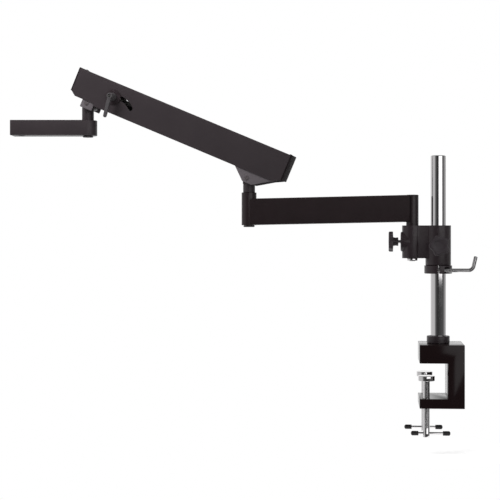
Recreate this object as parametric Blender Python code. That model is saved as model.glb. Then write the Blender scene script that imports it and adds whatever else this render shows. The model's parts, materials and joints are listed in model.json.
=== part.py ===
"""Articulating microscope stand: table clamp, chromed pillar and a two-stage swinging arm.

Metres, +Z up. The origin is on the underside of the clamp's upper jaw, below the pillar's axis.
The arm reaches towards -X. Inside an arm's own frame, +X runs outwards along the arm and +Y is
the side with the lock lever.
"""

import math

import bmesh
import bpy
from mathutils import Matrix, Vector

for leftover in list(bpy.data.objects):
    bpy.data.objects.remove(leftover, do_unlink=True)

# Running gap between pieces that touch or turn in each other
GAP = 0.0003

# Broken edge of machined pieces, and how far a cutting tool runs past a piece
EDGE = 0.0008
OVERCUT = 0.02

# Table clamp
CLAMP_WIDTH = 0.0900
CLAMP_DEPTH = 0.100
UPPER_JAW = 0.037
JAW_GAP = 0.0713
LOWER_JAW = 0.0193
CLAMP_SPINE = 0.0335
PILLAR_INSET = 0.0396
PILLAR_SOCKET = 0.020

# Clamp screws, pads and sliding bars
SCREW_DIAMETER = 0.0138
SCREW_INSET = 0.0136
SCREW_SPACING = 0.079
SCREW_LENGTH = 0.1147
SPIGOT_DIAMETER = 0.0084
SPIGOT_LENGTH = 0.006
PAD_DIAMETER = 0.0338
PAD_THICKNESS = 0.0099
PAD_OPENING = 0.0254
BAR_DIAMETER = 0.005
BAR_SPAN = 0.0794
BAR_HEIGHT = 0.0087
BAR_SHIFT = {"near": 0.0087, "far": -0.0024}
CAP_DIAMETER = 0.0092
CAP_LENGTH = 0.015
CAP_WALL = 0.0025
CAP_ROUND = 0.003

# Pillar, foot collar and its set screw
PILLAR_DIAMETER = 0.032
PILLAR_TOP = 0.4205
PILLAR_CHAMFER = 0.0015
FOOT_DIAMETER = 0.0468
FOOT_HEIGHT = 0.015
SET_SCREW_DIAMETER = 0.006
SET_SCREW_INSET = 0.001
SOCKET_RADIUS = 0.0017
SOCKET_DEPTH = 0.003

# Safety collar and its cranked handle
COLLAR_DIAMETER = 0.0566
COLLAR_HEIGHT = 0.0166
COLLAR_BOTTOM = 0.1795
COLLAR_SPLIT = 0.0046
POCKET_DIAMETER = 0.0135
POCKET_START = 0.0115
HANDLE_DIAMETER = 0.008
HANDLE_ENGAGEMENT = 0.0095
HANDLE_REACH = 0.0704
HANDLE_RISE = 0.0275
HANDLE_LEAN = math.radians(13)
HANDLE_BEND = 0.011
HANDLE_DROP = 0.0015

# Pillar coupling
COUPLING_TOP = 0.2777
PILLAR_LOBE = 0.026
POST_LOBE = 0.021
POST_LOBE_LIFT = 0.0144
WEB_THICKNESS = 0.0345
WEB_STEP = 0.0004
POST_SPACING = 0.0527
COUPLING_EDGE = 0.0015
KNOB_BOSS = 0.003
KNOB_BOSS_EDGE = 0.0026
PILLAR_BOSS_DIAMETER = 0.028
PILLAR_KNOB_Z = 0.2365
POST_KNOB_Z = 0.2447

# Star knobs
KNOB_DIAMETER = 0.0434
KNOB_LOBES = 5
KNOB_LOBE_DEPTH = 0.0045
KNOB_THICKNESS = 0.009
KNOB_HUB_DIAMETER = 0.0175
KNOB_HUB_LENGTH = 0.0107
KNOB_STANDOFF = 0.0048
STUD_DIAMETER = 0.007
STUD_ENGAGEMENT = 0.013

# Lower arm
ARM_LENGTH = 0.3397
ARM_SWING = math.radians(176.2)
BEAM_HEIGHT = 0.055
BEAM_WALL = 0.0025
BEAM_CORNER = 0.003
BEAM_MIDDLE = 0.3127
BEAM_DROP = 0.0062
BEAM_START = 0.0052
POST_DIAMETER = 0.0254
POST_SEAT = 0.004
POST_PROUD = 0.0004
SLEEVE_DIAMETER = 0.0312
SLEEVE_BOTTOM = 0.279
SLEEVE_TOP = 0.347
POST_STUD_DIAMETER = 0.012
POST_NUT_DIAMETER = 0.022
POST_NUT_HEIGHT = 0.0048
POST_NUT_NOTCH = 0.0022
POST_NUT_NOTCH_WIDTH = 0.0032

# Elbow and front pivots
JOURNAL_DIAMETER = 0.020
BUSH_WALL = 0.0015
NECK_DIAMETER = 0.025
NECK_CHAMFER = 0.0012
NECK_SETBACK = 0.0053
KEEPER_THICKNESS = 0.0036
KEEPER_DIAMETER = 0.0232
KEEPER_SCREW = 0.006
KEEPER_SCREW_HEAD = 0.0102
KEEPER_SCREW_DEPTH = 0.011

# Parallelogram: pins one above the other on each fork
REAR_PIN_Z = 0.3762
SPRING_ARM_LENGTH = 0.3792
FRONT_PIN_LIFT = 0.0139
FRONT_PIN_SETBACK = 0.006
PIN_RISE = 0.040
PIN_DIAMETER = 0.008
UPPER_PIN_DIAMETER = 0.006
PIN_HEAD_DIAMETER = 0.0088
PIN_HEAD_THICKNESS = 0.0014
PIN_HEAD_FLAT = 0.7
FORK_THICKNESS = 0.025
FORK_HALF_WIDTH = 0.011
FORK_FOOT = 0.0115
FORK_SHOULDER = 0.006
FORK_TIP_RADIUS = 0.0072
FORK_SLOT_DEPTH = 0.020
FORK_BOSS_DIAMETER = 0.015
LINK_THICKNESS = 0.007
LINK_HALF_HEIGHT = 0.004
LINK_EYE_RADIUS = 0.007
LINK_EYE_REACH = 0.012

# Spring arm housing, folded from sheet
ELBOW_TURN = math.radians(-1.0)
TILT = math.radians(22.87)
LOW_TILT = math.radians(-44)
HOUSING_WIDTH = 0.060
HOUSING_SHEET = 0.002
HOUSING_BEND = 0.0035
HOUSING_BACK = 0.0704
HOUSING_FRONT = 0.0424
HOUSING_CROWN = 0.0785
HOUSING_HEIGHT = 0.0644
END_PLATE = 0.0024
END_PLATE_PROUD = 0.0008
END_PLATE_CORNER = 0.003
END_FLANGE = 0.013
REAR_END_HEIGHT = 0.056
REAR_CHAMFER = 0.019
FRONT_END_HEIGHT = 0.0517
FRONT_CHAMFER = 0.0133
FRONT_NOTCH_HEIGHT = 0.0595
FRONT_NOTCH_LENGTH = 0.059
LIP_WIDTH = 0.010
LIP_SETBACK = 0.012
COVER_SCREW_DIAMETER = 0.003
COVER_SCREW_HEAD = 0.0065
COVER_SCREW_INSET = 0.007
COVER_SCREW_DEPTH = 0.007

# Cheeks that carry the lower pins; the rear spans start at the rear end, the front span at the pin
CHEEK_THICKNESS = 0.002
CHEEK_OVERLAP = 0.020
CHEEK_CORNER = 0.002
REAR_CHEEK_TOP = (0.019, 0.103)
REAR_CHEEK_FOOT = (0.0555, 0.0765)
REAR_CHEEK_DEPTH = 0.0235
FRONT_CHEEK_SPAN = (-0.0156, 0.0114)
FRONT_CHEEK_DEPTH = 0.0112

# Lock bolt, slot and lever
BOLT_DIAMETER = 0.008
BOLT_SETBACK = 0.0505
BOLT_Z = 0.0478
BOLT_END = 0.002
SLOT_WIDTH = 0.0095
SLOT_MARGIN = math.radians(0.6)
BOLT_SPACER_DIAMETER = 0.014
LOCK_WASHER_DIAMETER = 0.032
LOCK_WASHER_THICKNESS = 0.003
LOCK_NUT_ACROSS_FLATS = 0.013
LOCK_NUT_THICKNESS = 0.0065
FAR_WASHER_DIAMETER = 0.020
FAR_WASHER_THICKNESS = 0.002
LEVER_HUB_DIAMETER = 0.0165
LEVER_TOP_DIAMETER = 0.0125
LEVER_HUB_LENGTH = 0.0235
LEVER_COLLAR = 0.006
LEVER_TAPER = 0.003
LEVER_BLIND = 0.010
LEVER_SOCKET_RADIUS = 0.0028
LEVER_SOCKET_DEPTH = 0.0025
LEVER_EDGE = 0.0016
LEVER_LENGTH = 0.046
LEVER_ROOT_WIDTH = 0.0085
LEVER_TIP_WIDTH = 0.0065
LEVER_THICKNESS = 0.0075
LEVER_ANGLE = math.radians(75)
TONGUE_WIDTH = 0.010
TONGUE_SETBACK = 0.0605

# Balance springs
SPRING_Z = 0.029
SPRING_INSET = 0.009
SPRING_DIAMETER = 0.012
SPRING_WIRE = 0.0018
SPRING_TURNS = 18
SPRING_STEPS = 6
SPRING_SIDES = 3
SPRING_LEG = 0.009
SPRING_PIN_DIAMETER = 0.006
SPRING_BAR_LEAD = 0.0313

# Small front arm
FRONT_ARM_TURN = math.radians(8.5)
FRONT_ARM_LENGTH = 0.162
FRONT_ARM_WIDTH = 0.039
FRONT_ARM_DROP = 0.066
FRONT_ARM_HEIGHT = 0.0321
FRONT_JOURNAL_DIAMETER = 0.016
FRONT_KEEPER_DIAMETER = 0.0218
FRONT_KEEPER_THICKNESS = 0.0032
KEEPER_RELIEF = 0.0004
ACCESSORY_BORE = 0.016
ACCESSORY_INSET = 0.020

# Share of the radius taken by the rounding at the end of a bent bar
END_ROUND = 0.3

# Facets around a large, a middle and a small round piece
LARGE, MIDDLE, SMALL = 28, 18, 12

X, Y, Z = Vector((1, 0, 0)), Vector((0, 1, 0)), Vector((0, 0, 1))


def material(name, hex_colour, roughness, metallic):
    """A Principled material; the colour is sRGB hex and is stored linear."""
    made = bpy.data.materials.new(name)
    made.use_nodes = True
    shader = made.node_tree.nodes["Principled BSDF"]
    channels = [int(hex_colour[i:i + 2], 16) / 255 for i in (0, 2, 4)]
    linear = [c / 12.92 if c <= 0.04045 else ((c + 0.055) / 1.055) ** 2.4 for c in channels]
    shader.inputs["Base Color"].default_value = (*linear, 1)
    shader.inputs["Roughness"].default_value = roughness
    shader.inputs["Metallic"].default_value = metallic
    return made


GLOSS_BLACK = material("gloss_black_enamel", "1b1a1c", 0.25, 0.0)
SATIN_BLACK = material("satin_black_cast", "242325", 0.45, 0.0)
POWDER_BLACK = material("powder_coated_sheet", "2b292b", 0.55, 0.0)
CHROME = material("hard_chrome", "d6d6d8", 0.12, 1.0)
ZINC = material("zinc_plated_steel", "9a9a98", 0.35, 1.0)
RUBBER = material("black_rubber", "141414", 0.8, 0.0)
PLASTIC = material("black_moulded_nylon", "1a1a1b", 0.5, 0.0)
CAST_GREY = material("grey_die_cast_lever", "4d4c4e", 0.5, 0.0)
BRONZE = material("sintered_bronze", "8a6a42", 0.4, 1.0)
SPRING_STEEL = material("oiled_spring_steel", "55555a", 0.35, 1.0)


def frame(name, parent, location, turn=0.0, tilt=0.0):
    """An empty on a joint: turned about Z, then tilted so that +X rises by tilt."""
    empty = bpy.data.objects.new(name, None)
    bpy.context.scene.collection.objects.link(empty)
    empty.empty_display_size = 0.02
    empty.parent = parent
    empty.location = location
    empty.rotation_euler = (0, -tilt, turn)
    return empty


def finish(name, shape, finish_material, parent):
    """Turn a bmesh into a named object that hangs on its joint's frame."""
    bmesh.ops.remove_doubles(shape, verts=shape.verts, dist=1e-7)
    bmesh.ops.recalc_face_normals(shape, faces=shape.faces)
    mesh = bpy.data.meshes.new(name)
    shape.to_mesh(mesh)
    shape.free()
    mesh.materials.append(finish_material)
    piece = bpy.data.objects.new(name, mesh)
    bpy.context.scene.collection.objects.link(piece)
    piece.parent = parent
    smooth(piece)
    return piece


def smooth(piece):
    """Smooth shading that keeps edges sharper than 32 degrees crisp."""
    piece.data.shade_smooth()
    piece.data.set_sharp_from_angle(angle=math.radians(32))


def combine(piece, shape, operation):
    """Union or cut a piece with a bmesh tool given in the piece's own frame."""
    bmesh.ops.recalc_face_normals(shape, faces=shape.faces)
    mesh = bpy.data.meshes.new("tool")
    shape.to_mesh(mesh)
    shape.free()
    tool = bpy.data.objects.new("tool", mesh)
    bpy.context.scene.collection.objects.link(tool)
    tool.parent = piece.parent
    modifier = piece.modifiers.new("tool", "BOOLEAN")
    modifier.operation = operation
    modifier.object = tool
    modifier.solver = "EXACT"
    result = bpy.data.meshes.new_from_object(piece.evaluated_get(bpy.context.evaluated_depsgraph_get()))
    piece.modifiers.clear()
    piece.data = result
    result.name = piece.name
    bpy.data.objects.remove(tool, do_unlink=True)
    smooth(piece)
    return piece


def cut(piece, *shapes):
    for shape in shapes:
        combine(piece, shape, "DIFFERENCE")
    return piece


def join(piece, *shapes):
    for shape in shapes:
        combine(piece, shape, "UNION")
    return piece


def along(axis, at=(0, 0, 0)):
    """A matrix that lays local +Z along an axis from a point."""
    return Matrix.Translation(at) @ Z.rotation_difference(Vector(axis)).to_matrix().to_4x4()


def loop(shape, radii, height):
    """Vertices round the Z axis, one for each radius, or a single one if they are all nil."""
    if not any(radii):
        return [shape.verts.new((0, 0, height))]
    turns = [math.tau * i / len(radii) for i in range(len(radii))]
    return [shape.verts.new((r * math.cos(a), r * math.sin(a), height)) for r, a in zip(radii, turns)]


def stitch(shape, low, high, count):
    """Faces between two loops, of which one may be a single vertex."""
    for i in range(count):
        j = (i + 1) % count
        corners = [low[i % len(low)], low[j % len(low)], high[j % len(high)], high[i % len(high)]]
        shape.faces.new(list(dict.fromkeys(corners)))


def turned(profile, segments, placing=None, hollow=False):
    """A solid of revolution from (radius, height) points, low to high outside.

    A hollow profile is a closed loop; any other starts and ends on the axis. A flat end is one face.
    """
    shape = bmesh.new()
    flat_low = not hollow and profile[0][1] == profile[1][1]
    flat_high = not hollow and profile[-1][1] == profile[-2][1]
    points = profile[flat_low:len(profile) - flat_high]
    rings = [loop(shape, [radius] * segments, height) for radius, height in points]
    pairs = list(zip(rings, rings[1:]))
    if hollow:
        pairs.append((rings[-1], rings[0]))
    for low, high in pairs:
        stitch(shape, low, high, segments)
    if flat_low:
        shape.faces.new(rings[0])
    if flat_high:
        shape.faces.new(rings[-1])
    if placing is not None:
        bmesh.ops.transform(shape, matrix=placing, verts=shape.verts)
    return shape


def rod(radius, low, high, segments, placing=None, chamfer=0.0):
    """A plain round bar, chamfered at both ends."""
    profile = [(0, low)]
    if chamfer:
        profile += [(radius - chamfer, low), (radius, low + chamfer)]
        profile += [(radius, high - chamfer), (radius - chamfer, high)]
    else:
        profile += [(radius, low), (radius, high)]
    return turned(profile + [(0, high)], segments, placing)


def ring(inner, outer, low, high, segments, placing=None, chamfer=0.0):
    """A round tube or washer with chamfered outer edges."""
    profile = [(inner, low), (outer - chamfer, low)]
    if chamfer:
        profile += [(outer, low + chamfer), (outer, high - chamfer)]
    profile += [(outer - chamfer, high), (inner, high)]
    if not chamfer:
        profile = [(inner, low), (outer, low), (outer, high), (inner, high)]
    return turned(profile, segments, placing, hollow=True)


def prism(outline, low, high, axis="Y"):
    """An outline extruded along an axis. Outlines are (x, z) for Y, (x, y) for Z, (y, z) for X."""
    shape = bmesh.new()
    places = {
        "X": lambda a, b, c: (c, a, b),
        "Y": lambda a, b, c: (a, c, b),
        "Z": lambda a, b, c: (a, b, c),
    }
    ends = [[shape.verts.new(places[axis](a, b, level)) for a, b in outline] for level in (low, high)]
    shape.faces.new(ends[0])
    shape.faces.new(ends[1])
    for i in range(len(outline)):
        j = (i + 1) % len(outline)
        shape.faces.new((ends[0][i], ends[0][j], ends[1][j], ends[1][i]))
    bmesh.ops.recalc_face_normals(shape, faces=shape.faces)
    return shape


def block(low, high):
    """A rectangular block between two corners."""
    outline = [(low[0], low[1]), (high[0], low[1]), (high[0], high[1]), (low[0], high[1])]
    return prism(outline, low[2], high[2], "Z")


def rounded(shape, width, segments, wanted):
    """Round the edges for which wanted(edge direction, edge middle) is true."""
    edges = []
    for edge in shape.edges:
        first, second = (v.co for v in edge.verts)
        direction = (second - first).normalized()
        if wanted(direction, (first + second) / 2) and edge.calc_face_angle(0) > math.radians(30):
            edges.append(edge)
    bmesh.ops.bevel(
        shape, geom=edges, offset=width, segments=segments, profile=0.5, affect="EDGES", clamp_overlap=True
    )
    return shape


def round_top(shape, width, level, segments):
    """Round the two top edges that run along X."""
    rounded(shape, width, segments, lambda way, middle: abs(way.x) > 0.9 and middle.z > level - EDGE)


def arc(centre, radius, start, end, steps):
    """Points on an arc, angles in degrees."""
    angles = [math.radians(start + (end - start) * i / steps) for i in range(steps + 1)]
    return [(centre[0] + radius * math.cos(a), centre[1] + radius * math.sin(a)) for a in angles]


def rounded_corner(before, corner, after, radius, steps=3):
    """Points that round one corner of an outline by a quadratic curve."""
    here = Vector(corner)
    start = here + (Vector(before) - here).normalized() * radius
    end = here + (Vector(after) - here).normalized() * radius
    points = []
    for i in range(steps + 1):
        t = i / steps
        points.append(tuple(start * (1 - t) ** 2 + here * 2 * t * (1 - t) + end * t ** 2))
    return points


def swept(path, radius, sides, flat_normal):
    """A round bar along a path of points that lies in the plane with this normal, or a helix."""
    shape = bmesh.new()
    rings = []
    for i, point in enumerate(path):
        ahead = path[min(i + 1, len(path) - 1)] - path[max(i - 1, 0)]
        tangent = ahead.normalized()
        side = tangent.cross(flat_normal).normalized()
        up = side.cross(tangent)
        rings.append([
            shape.verts.new(
                point + radius * (math.cos(math.tau * k / sides) * side + math.sin(math.tau * k / sides) * up)
            )
            for k in range(sides)
        ])
    for low, high in zip(rings, rings[1:]):
        stitch(shape, low, high, sides)
    first = (rings[0], path[0], path[0] - path[1])
    last = (rings[-1], path[-1], path[-1] - path[-2])
    for end, middle, beyond in (first, last):
        step = beyond.normalized() * radius * END_ROUND
        tip = [shape.verts.new(middle + (v.co - middle) * (1 - END_ROUND) + step) for v in end]
        stitch(shape, end, tip, sides)
        shape.faces.new(tip)
    bmesh.ops.recalc_face_normals(shape, faces=shape.faces)
    return shape


# Places worked out from the driving sizes
clamp_left = -PILLAR_INSET
clamp_right = CLAMP_WIDTH - PILLAR_INSET
clamp_bottom = -JAW_GAP - LOWER_JAW
throat = clamp_right - CLAMP_SPINE
screw_x = clamp_left + SCREW_INSET
pad_top = -PAD_OPENING
pad_bottom = pad_top - PAD_THICKNESS
screw_bottom = pad_bottom - SCREW_LENGTH
bar_z = screw_bottom + BAR_HEIGHT
pillar_radius = PILLAR_DIAMETER / 2
collar_middle = COLLAR_BOTTOM + COLLAR_HEIGHT / 2
coupling_bottom = COLLAR_BOTTOM + COLLAR_HEIGHT + GAP
post_lobe_bottom = coupling_bottom + POST_LOBE_LIFT
post_radius = POST_DIAMETER / 2
sleeve_radius = SLEEVE_DIAMETER / 2
housing_inner = HOUSING_WIDTH / 2 - HOUSING_SHEET
housing_floor = HOUSING_CROWN - HOUSING_HEIGHT
housing_front = SPRING_ARM_LENGTH + HOUSING_FRONT
cheek_outer = housing_inner - GAP
cheek_inner = cheek_outer - CHEEK_THICKNESS
link_length = math.hypot(SPRING_ARM_LENGTH, FRONT_PIN_LIFT)
link_slant = math.atan2(FRONT_PIN_LIFT, SPRING_ARM_LENGTH)
link_tilt = TILT + link_slant
bolt_x = SPRING_ARM_LENGTH - BOLT_SETBACK
spring_pin_x = bolt_x - TONGUE_SETBACK
spring_bar_x = SPRING_ARM_LENGTH + SPRING_BAR_LEAD
spring_offset = housing_inner - SPRING_INSET
front_arm_top = FRONT_ARM_HEIGHT - FRONT_ARM_DROP


def to_link(x, z):
    """A point of the housing's frame, at rest, in the upper link's frame."""
    x -= PIN_RISE * math.sin(TILT)
    z -= PIN_RISE * math.cos(TILT)
    cosine, sine = math.cos(link_slant), math.sin(link_slant)
    return x * cosine + z * sine, -x * sine + z * cosine


# Joint frames, from the clamp outwards
base = frame("base", None, (0, 0, 0))
collar = frame("safety_collar_slide", base, (0, 0, collar_middle))
collar_screw_y = -(pillar_radius + COLLAR_DIAMETER / 2) / 2
crank = frame("collar_handle_turn", collar, (0, collar_screw_y, -HANDLE_DROP))
coupling = frame("coupling_swivel", base, (0, 0, 0))
pillar_knob = frame("pillar_knob_turn", coupling, (0, 0, PILLAR_KNOB_Z))
post_knob = frame("post_knob_turn", coupling, (-POST_SPACING, 0, POST_KNOB_Z))
lower_arm = frame("lower_arm_swing", coupling, (-POST_SPACING, 0, 0), turn=ARM_SWING)
elbow = frame("elbow_swing", lower_arm, (ARM_LENGTH, 0, 0), turn=ELBOW_TURN)
spring_arm = frame("spring_arm_tilt", elbow, (0, 0, REAR_PIN_Z), tilt=TILT)
upper_link = frame("upper_link_tilt", elbow, (0, 0, REAR_PIN_Z + PIN_RISE), tilt=link_tilt)
link_bolt_x, link_bolt_z = to_link(bolt_x, BOLT_Z)
lever_turn = frame("lock_lever_turn", upper_link, (link_bolt_x, 0, link_bolt_z), tilt=-link_tilt)
bolt_axis = along(Y, (link_bolt_x, 0, link_bolt_z))
nose = frame("nose_levelling", spring_arm, (SPRING_ARM_LENGTH, 0, FRONT_PIN_LIFT), tilt=-TILT)
front_arm = frame("front_arm_swing", nose, (FRONT_PIN_SETBACK, 0, 0), turn=FRONT_ARM_TURN)


def build_clamp():
    """C-shaped clamp block with a blind socket for the pillar and two tapped holes."""
    outline = [
        (clamp_left, clamp_bottom), (clamp_right, clamp_bottom), (clamp_right, UPPER_JAW),
        (clamp_left, UPPER_JAW), (clamp_left, 0), (throat, 0), (throat, -JAW_GAP), (clamp_left, -JAW_GAP),
    ]
    shape = prism(outline, -CLAMP_DEPTH / 2, CLAMP_DEPTH / 2)
    rounded(shape, EDGE, 1, lambda direction, middle: True)
    body = finish("clamp_body", shape, GLOSS_BLACK, base)
    cut(body, rod(pillar_radius + GAP, UPPER_JAW - PILLAR_SOCKET, UPPER_JAW + OVERCUT, LARGE))
    for y in (-SCREW_SPACING / 2, SCREW_SPACING / 2):
        placing = Matrix.Translation((screw_x, y, 0))
        cut(body, rod(SCREW_DIAMETER / 2 + GAP, clamp_bottom - OVERCUT, -JAW_GAP + OVERCUT, MIDDLE, placing))


def build_clamp_screw(side, y):
    """A screw with its swivelling pad and the sliding bar with two rubber caps."""
    slide = frame("pad_slide_" + side, base, (screw_x, y, pad_bottom))
    turn = frame("screw_turn_" + side, slide, (0, 0, 0))
    bar = frame("bar_slide_" + side, turn, (0, 0, bar_z - pad_bottom))
    pad_radius = PAD_DIAMETER / 2
    socket = SPIGOT_DIAMETER / 2 + GAP
    pad_profile = [
        (0, SPIGOT_LENGTH), (socket, SPIGOT_LENGTH), (socket, 0), (pad_radius - EDGE, 0), (pad_radius, EDGE),
        (pad_radius, PAD_THICKNESS - EDGE), (pad_radius - EDGE, PAD_THICKNESS), (0, PAD_THICKNESS),
    ]
    finish("clamp_pad_" + side, turned(pad_profile, LARGE), CHROME, slide)
    radius = SCREW_DIAMETER / 2
    profile = [
        (0, -SCREW_LENGTH), (radius - EDGE, -SCREW_LENGTH), (radius, -SCREW_LENGTH + EDGE),
        (radius, -GAP - EDGE), (radius - EDGE, -GAP), (SPIGOT_DIAMETER / 2, -GAP),
        (SPIGOT_DIAMETER / 2, SPIGOT_LENGTH - GAP), (0, SPIGOT_LENGTH - GAP),
    ]
    screw = finish("clamp_screw_" + side, turned(profile, MIDDLE), CHROME, turn)
    hole = along(X, (0, 0, bar_z - pad_bottom))
    cut(screw, rod(BAR_DIAMETER / 2 + GAP, -OVERCUT, OVERCUT, SMALL, hole))
    shift = BAR_SHIFT[side]
    half = BAR_SPAN / 2
    reach = half - CAP_WALL - GAP
    length = rod(BAR_DIAMETER / 2, -reach, reach, SMALL, along(X, (shift, 0, 0)))
    finish("sliding_bar_" + side, length, CHROME, bar)
    cap_radius = CAP_DIAMETER / 2
    bore = BAR_DIAMETER / 2 + GAP
    corner = cap_radius - CAP_ROUND
    bottom = CAP_LENGTH - CAP_WALL
    cap_profile = [(0, bottom), (bore, bottom), (bore, 0), (cap_radius - EDGE, 0), (cap_radius, EDGE)]
    cap_profile += arc((corner, CAP_LENGTH - CAP_ROUND), CAP_ROUND, 30, 90, 2)
    cap_profile += [(0, CAP_LENGTH)]
    for label, direction in (("inner", X), ("outer", -X)):
        start = shift + direction.x * (half - CAP_LENGTH)
        cap = turned(cap_profile, SMALL, along(direction, (start, 0, 0)))
        finish("bar_cap_{}_{}".format(label, side), cap, RUBBER, bar)


def build_set_screw(name, point, end, placing, parent):
    """Headless screw along an axis, from its point to the end with the hexagon socket."""
    radius = SET_SCREW_DIAMETER / 2
    profile = [
        (0, point), (radius - EDGE, point), (radius, point + EDGE), (radius, end),
        (SOCKET_RADIUS, end), (SOCKET_RADIUS, end - SOCKET_DEPTH), (0, end - SOCKET_DEPTH),
    ]
    finish(name, turned(profile, SMALL, placing), ZINC, parent)


def build_pillar():
    """Foot collar on the clamp, the chromed pillar and the set screw behind it."""
    low = UPPER_JAW - PILLAR_SOCKET + GAP
    finish("pillar", rod(pillar_radius, low, PILLAR_TOP, LARGE, chamfer=PILLAR_CHAMFER), CHROME, base)
    outer = FOOT_DIAMETER / 2
    foot = ring(pillar_radius + GAP, outer, UPPER_JAW + GAP, UPPER_JAW + FOOT_HEIGHT, LARGE, chamfer=EDGE)
    foot = finish("foot_collar", foot, SATIN_BLACK, base)
    middle = along(Y, (0, 0, UPPER_JAW + FOOT_HEIGHT / 2))
    cut(foot, rod(SET_SCREW_DIAMETER / 2 + GAP, pillar_radius, outer + OVERCUT, SMALL, middle))
    build_set_screw("foot_set_screw", pillar_radius + GAP, outer - SET_SCREW_INSET, middle, base)


def build_safety_collar():
    """Split ring below the coupling, drawn tight by a cranked handle through its ears."""
    outer = COLLAR_DIAMETER / 2
    half = COLLAR_HEIGHT / 2
    body = ring(pillar_radius + GAP, outer, -half, half, LARGE, chamfer=EDGE)
    body = finish("safety_collar", body, SATIN_BLACK, collar)
    split = COLLAR_SPLIT / 2
    cut(body, block((-split, -outer - OVERCUT, -half - OVERCUT), (split, 0, half + OVERCUT)))
    axis = (0, collar_screw_y, -HANDLE_DROP)
    bore = HANDLE_DIAMETER / 2 + GAP
    cut(body, rod(POCKET_DIAMETER / 2, POCKET_START, outer + OVERCUT, MIDDLE, along(X, axis)))
    cut(body, rod(bore, -HANDLE_ENGAGEMENT, POCKET_START + OVERCUT, SMALL, along(X, axis)))
    straight = HANDLE_REACH - HANDLE_BEND
    start = -HANDLE_ENGAGEMENT + GAP + END_ROUND * HANDLE_DIAMETER / 2
    path = [Vector((start, 0, 0)), Vector((0, 0, 0)), Vector((straight, 0, 0))]
    turn = math.pi / 2 - HANDLE_LEAN
    steps = 6
    for i in range(1, steps + 1):
        angle = turn * i / steps
        across, up = HANDLE_BEND * math.sin(angle), HANDLE_BEND * (1 - math.cos(angle))
        path.append(Vector((straight + across, 0, up)))
    direction = Vector((math.sin(HANDLE_LEAN), 0, math.cos(HANDLE_LEAN)))
    remaining = (HANDLE_RISE - path[-1].z) / direction.z
    path.append(path[-1] + direction * remaining)
    finish("collar_handle", swept(path, HANDLE_DIAMETER / 2, SMALL, Y), CHROME, crank)


def build_coupling():
    """Casting that joins the pillar to the arm post: two barrels, a web and two knob bosses."""
    low, high = post_lobe_bottom, COUPLING_TOP
    at_post = Matrix.Translation((-POST_SPACING, 0, 0))
    body = rod(PILLAR_LOBE, coupling_bottom, high, LARGE, chamfer=COUPLING_EDGE)
    body = finish("coupling_block", body, SATIN_BLACK, coupling)
    join(body, rod(POST_LOBE, low, high, LARGE, at_post, chamfer=COUPLING_EDGE))
    web_low, web_high = low + WEB_STEP, high - WEB_STEP
    web = block((-POST_SPACING, -WEB_THICKNESS / 2, web_low), (0, WEB_THICKNESS / 2, web_high))
    rounded(web, COUPLING_EDGE, 1, lambda direction, middle: abs(direction.x) > 0.9)
    join(body, web)
    pillar_boss = along(-Y, (0, 0, PILLAR_KNOB_Z))
    post_boss = along(-X, (-POST_SPACING, 0, POST_KNOB_Z))
    pillar_end, post_end = PILLAR_LOBE + KNOB_BOSS, POST_LOBE + KNOB_BOSS
    join(body, rod(PILLAR_BOSS_DIAMETER / 2, 0, pillar_end, MIDDLE, pillar_boss, chamfer=KNOB_BOSS_EDGE))
    join(body, rod(POST_LOBE - EDGE, 0, post_end, LARGE, post_boss, chamfer=KNOB_BOSS_EDGE))
    cut(body, rod(pillar_radius + GAP, coupling_bottom - OVERCUT, high + OVERCUT, LARGE))
    cut(body, rod(post_radius + GAP, low - OVERCUT, high + OVERCUT, LARGE, at_post))
    stud_hole = STUD_DIAMETER / 2 + GAP
    cut(body, rod(stud_hole, 0, pillar_end + OVERCUT, SMALL, pillar_boss))
    cut(body, rod(stud_hole, 0, post_end + OVERCUT, SMALL, post_boss))


def star_radius(angle):
    """The knob's plan: lobes with hollows between them."""
    wave = 0.5 - 0.5 * math.cos(KNOB_LOBES * angle)
    return KNOB_DIAMETER / 2 - KNOB_LOBE_DEPTH * wave ** 0.8


def build_knob(name, parent, axis, inner_radius, lobe_radius, roll):
    """Five-lobed knob with a hub, moulded round a steel stud that bears on the post."""
    placing = along(axis) @ Matrix.Rotation(roll, 4, "Z")
    start = lobe_radius + KNOB_BOSS + KNOB_STANDOFF
    head = start + KNOB_HUB_LENGTH
    top = head + KNOB_THICKNESS
    bore = STUD_DIAMETER / 2 + GAP
    hub = KNOB_HUB_DIAMETER / 2
    layers = [
        (0, start + STUD_ENGAGEMENT), (bore, start + STUD_ENGAGEMENT), (bore, start),
        (hub - EDGE, start), (hub, start + EDGE), (hub, head),
    ]
    star = [(0.96, head), (1.0, head + 0.0016), (1.0, top - 0.0026), (0.965, top - 0.0008), (0.90, top)]
    count = 8 * KNOB_LOBES
    plan = [star_radius(math.tau * i / count) for i in range(count)]
    shape = bmesh.new()
    rings = [loop(shape, [radius] * count, height) for radius, height in layers]
    rings += [loop(shape, [scale * radius for radius in plan], height) for scale, height in star]
    rings.append(loop(shape, [0] * count, top))
    for low, high in zip(rings, rings[1:]):
        stitch(shape, low, high, count)
    bmesh.ops.transform(shape, matrix=placing, verts=shape.verts)
    finish(name, shape, PLASTIC, parent)
    stud_end = start + STUD_ENGAGEMENT - GAP
    stud = rod(STUD_DIAMETER / 2, inner_radius + GAP, stud_end, SMALL, placing, chamfer=EDGE)
    finish(name + "_stud", stud, CHROME, parent)


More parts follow.
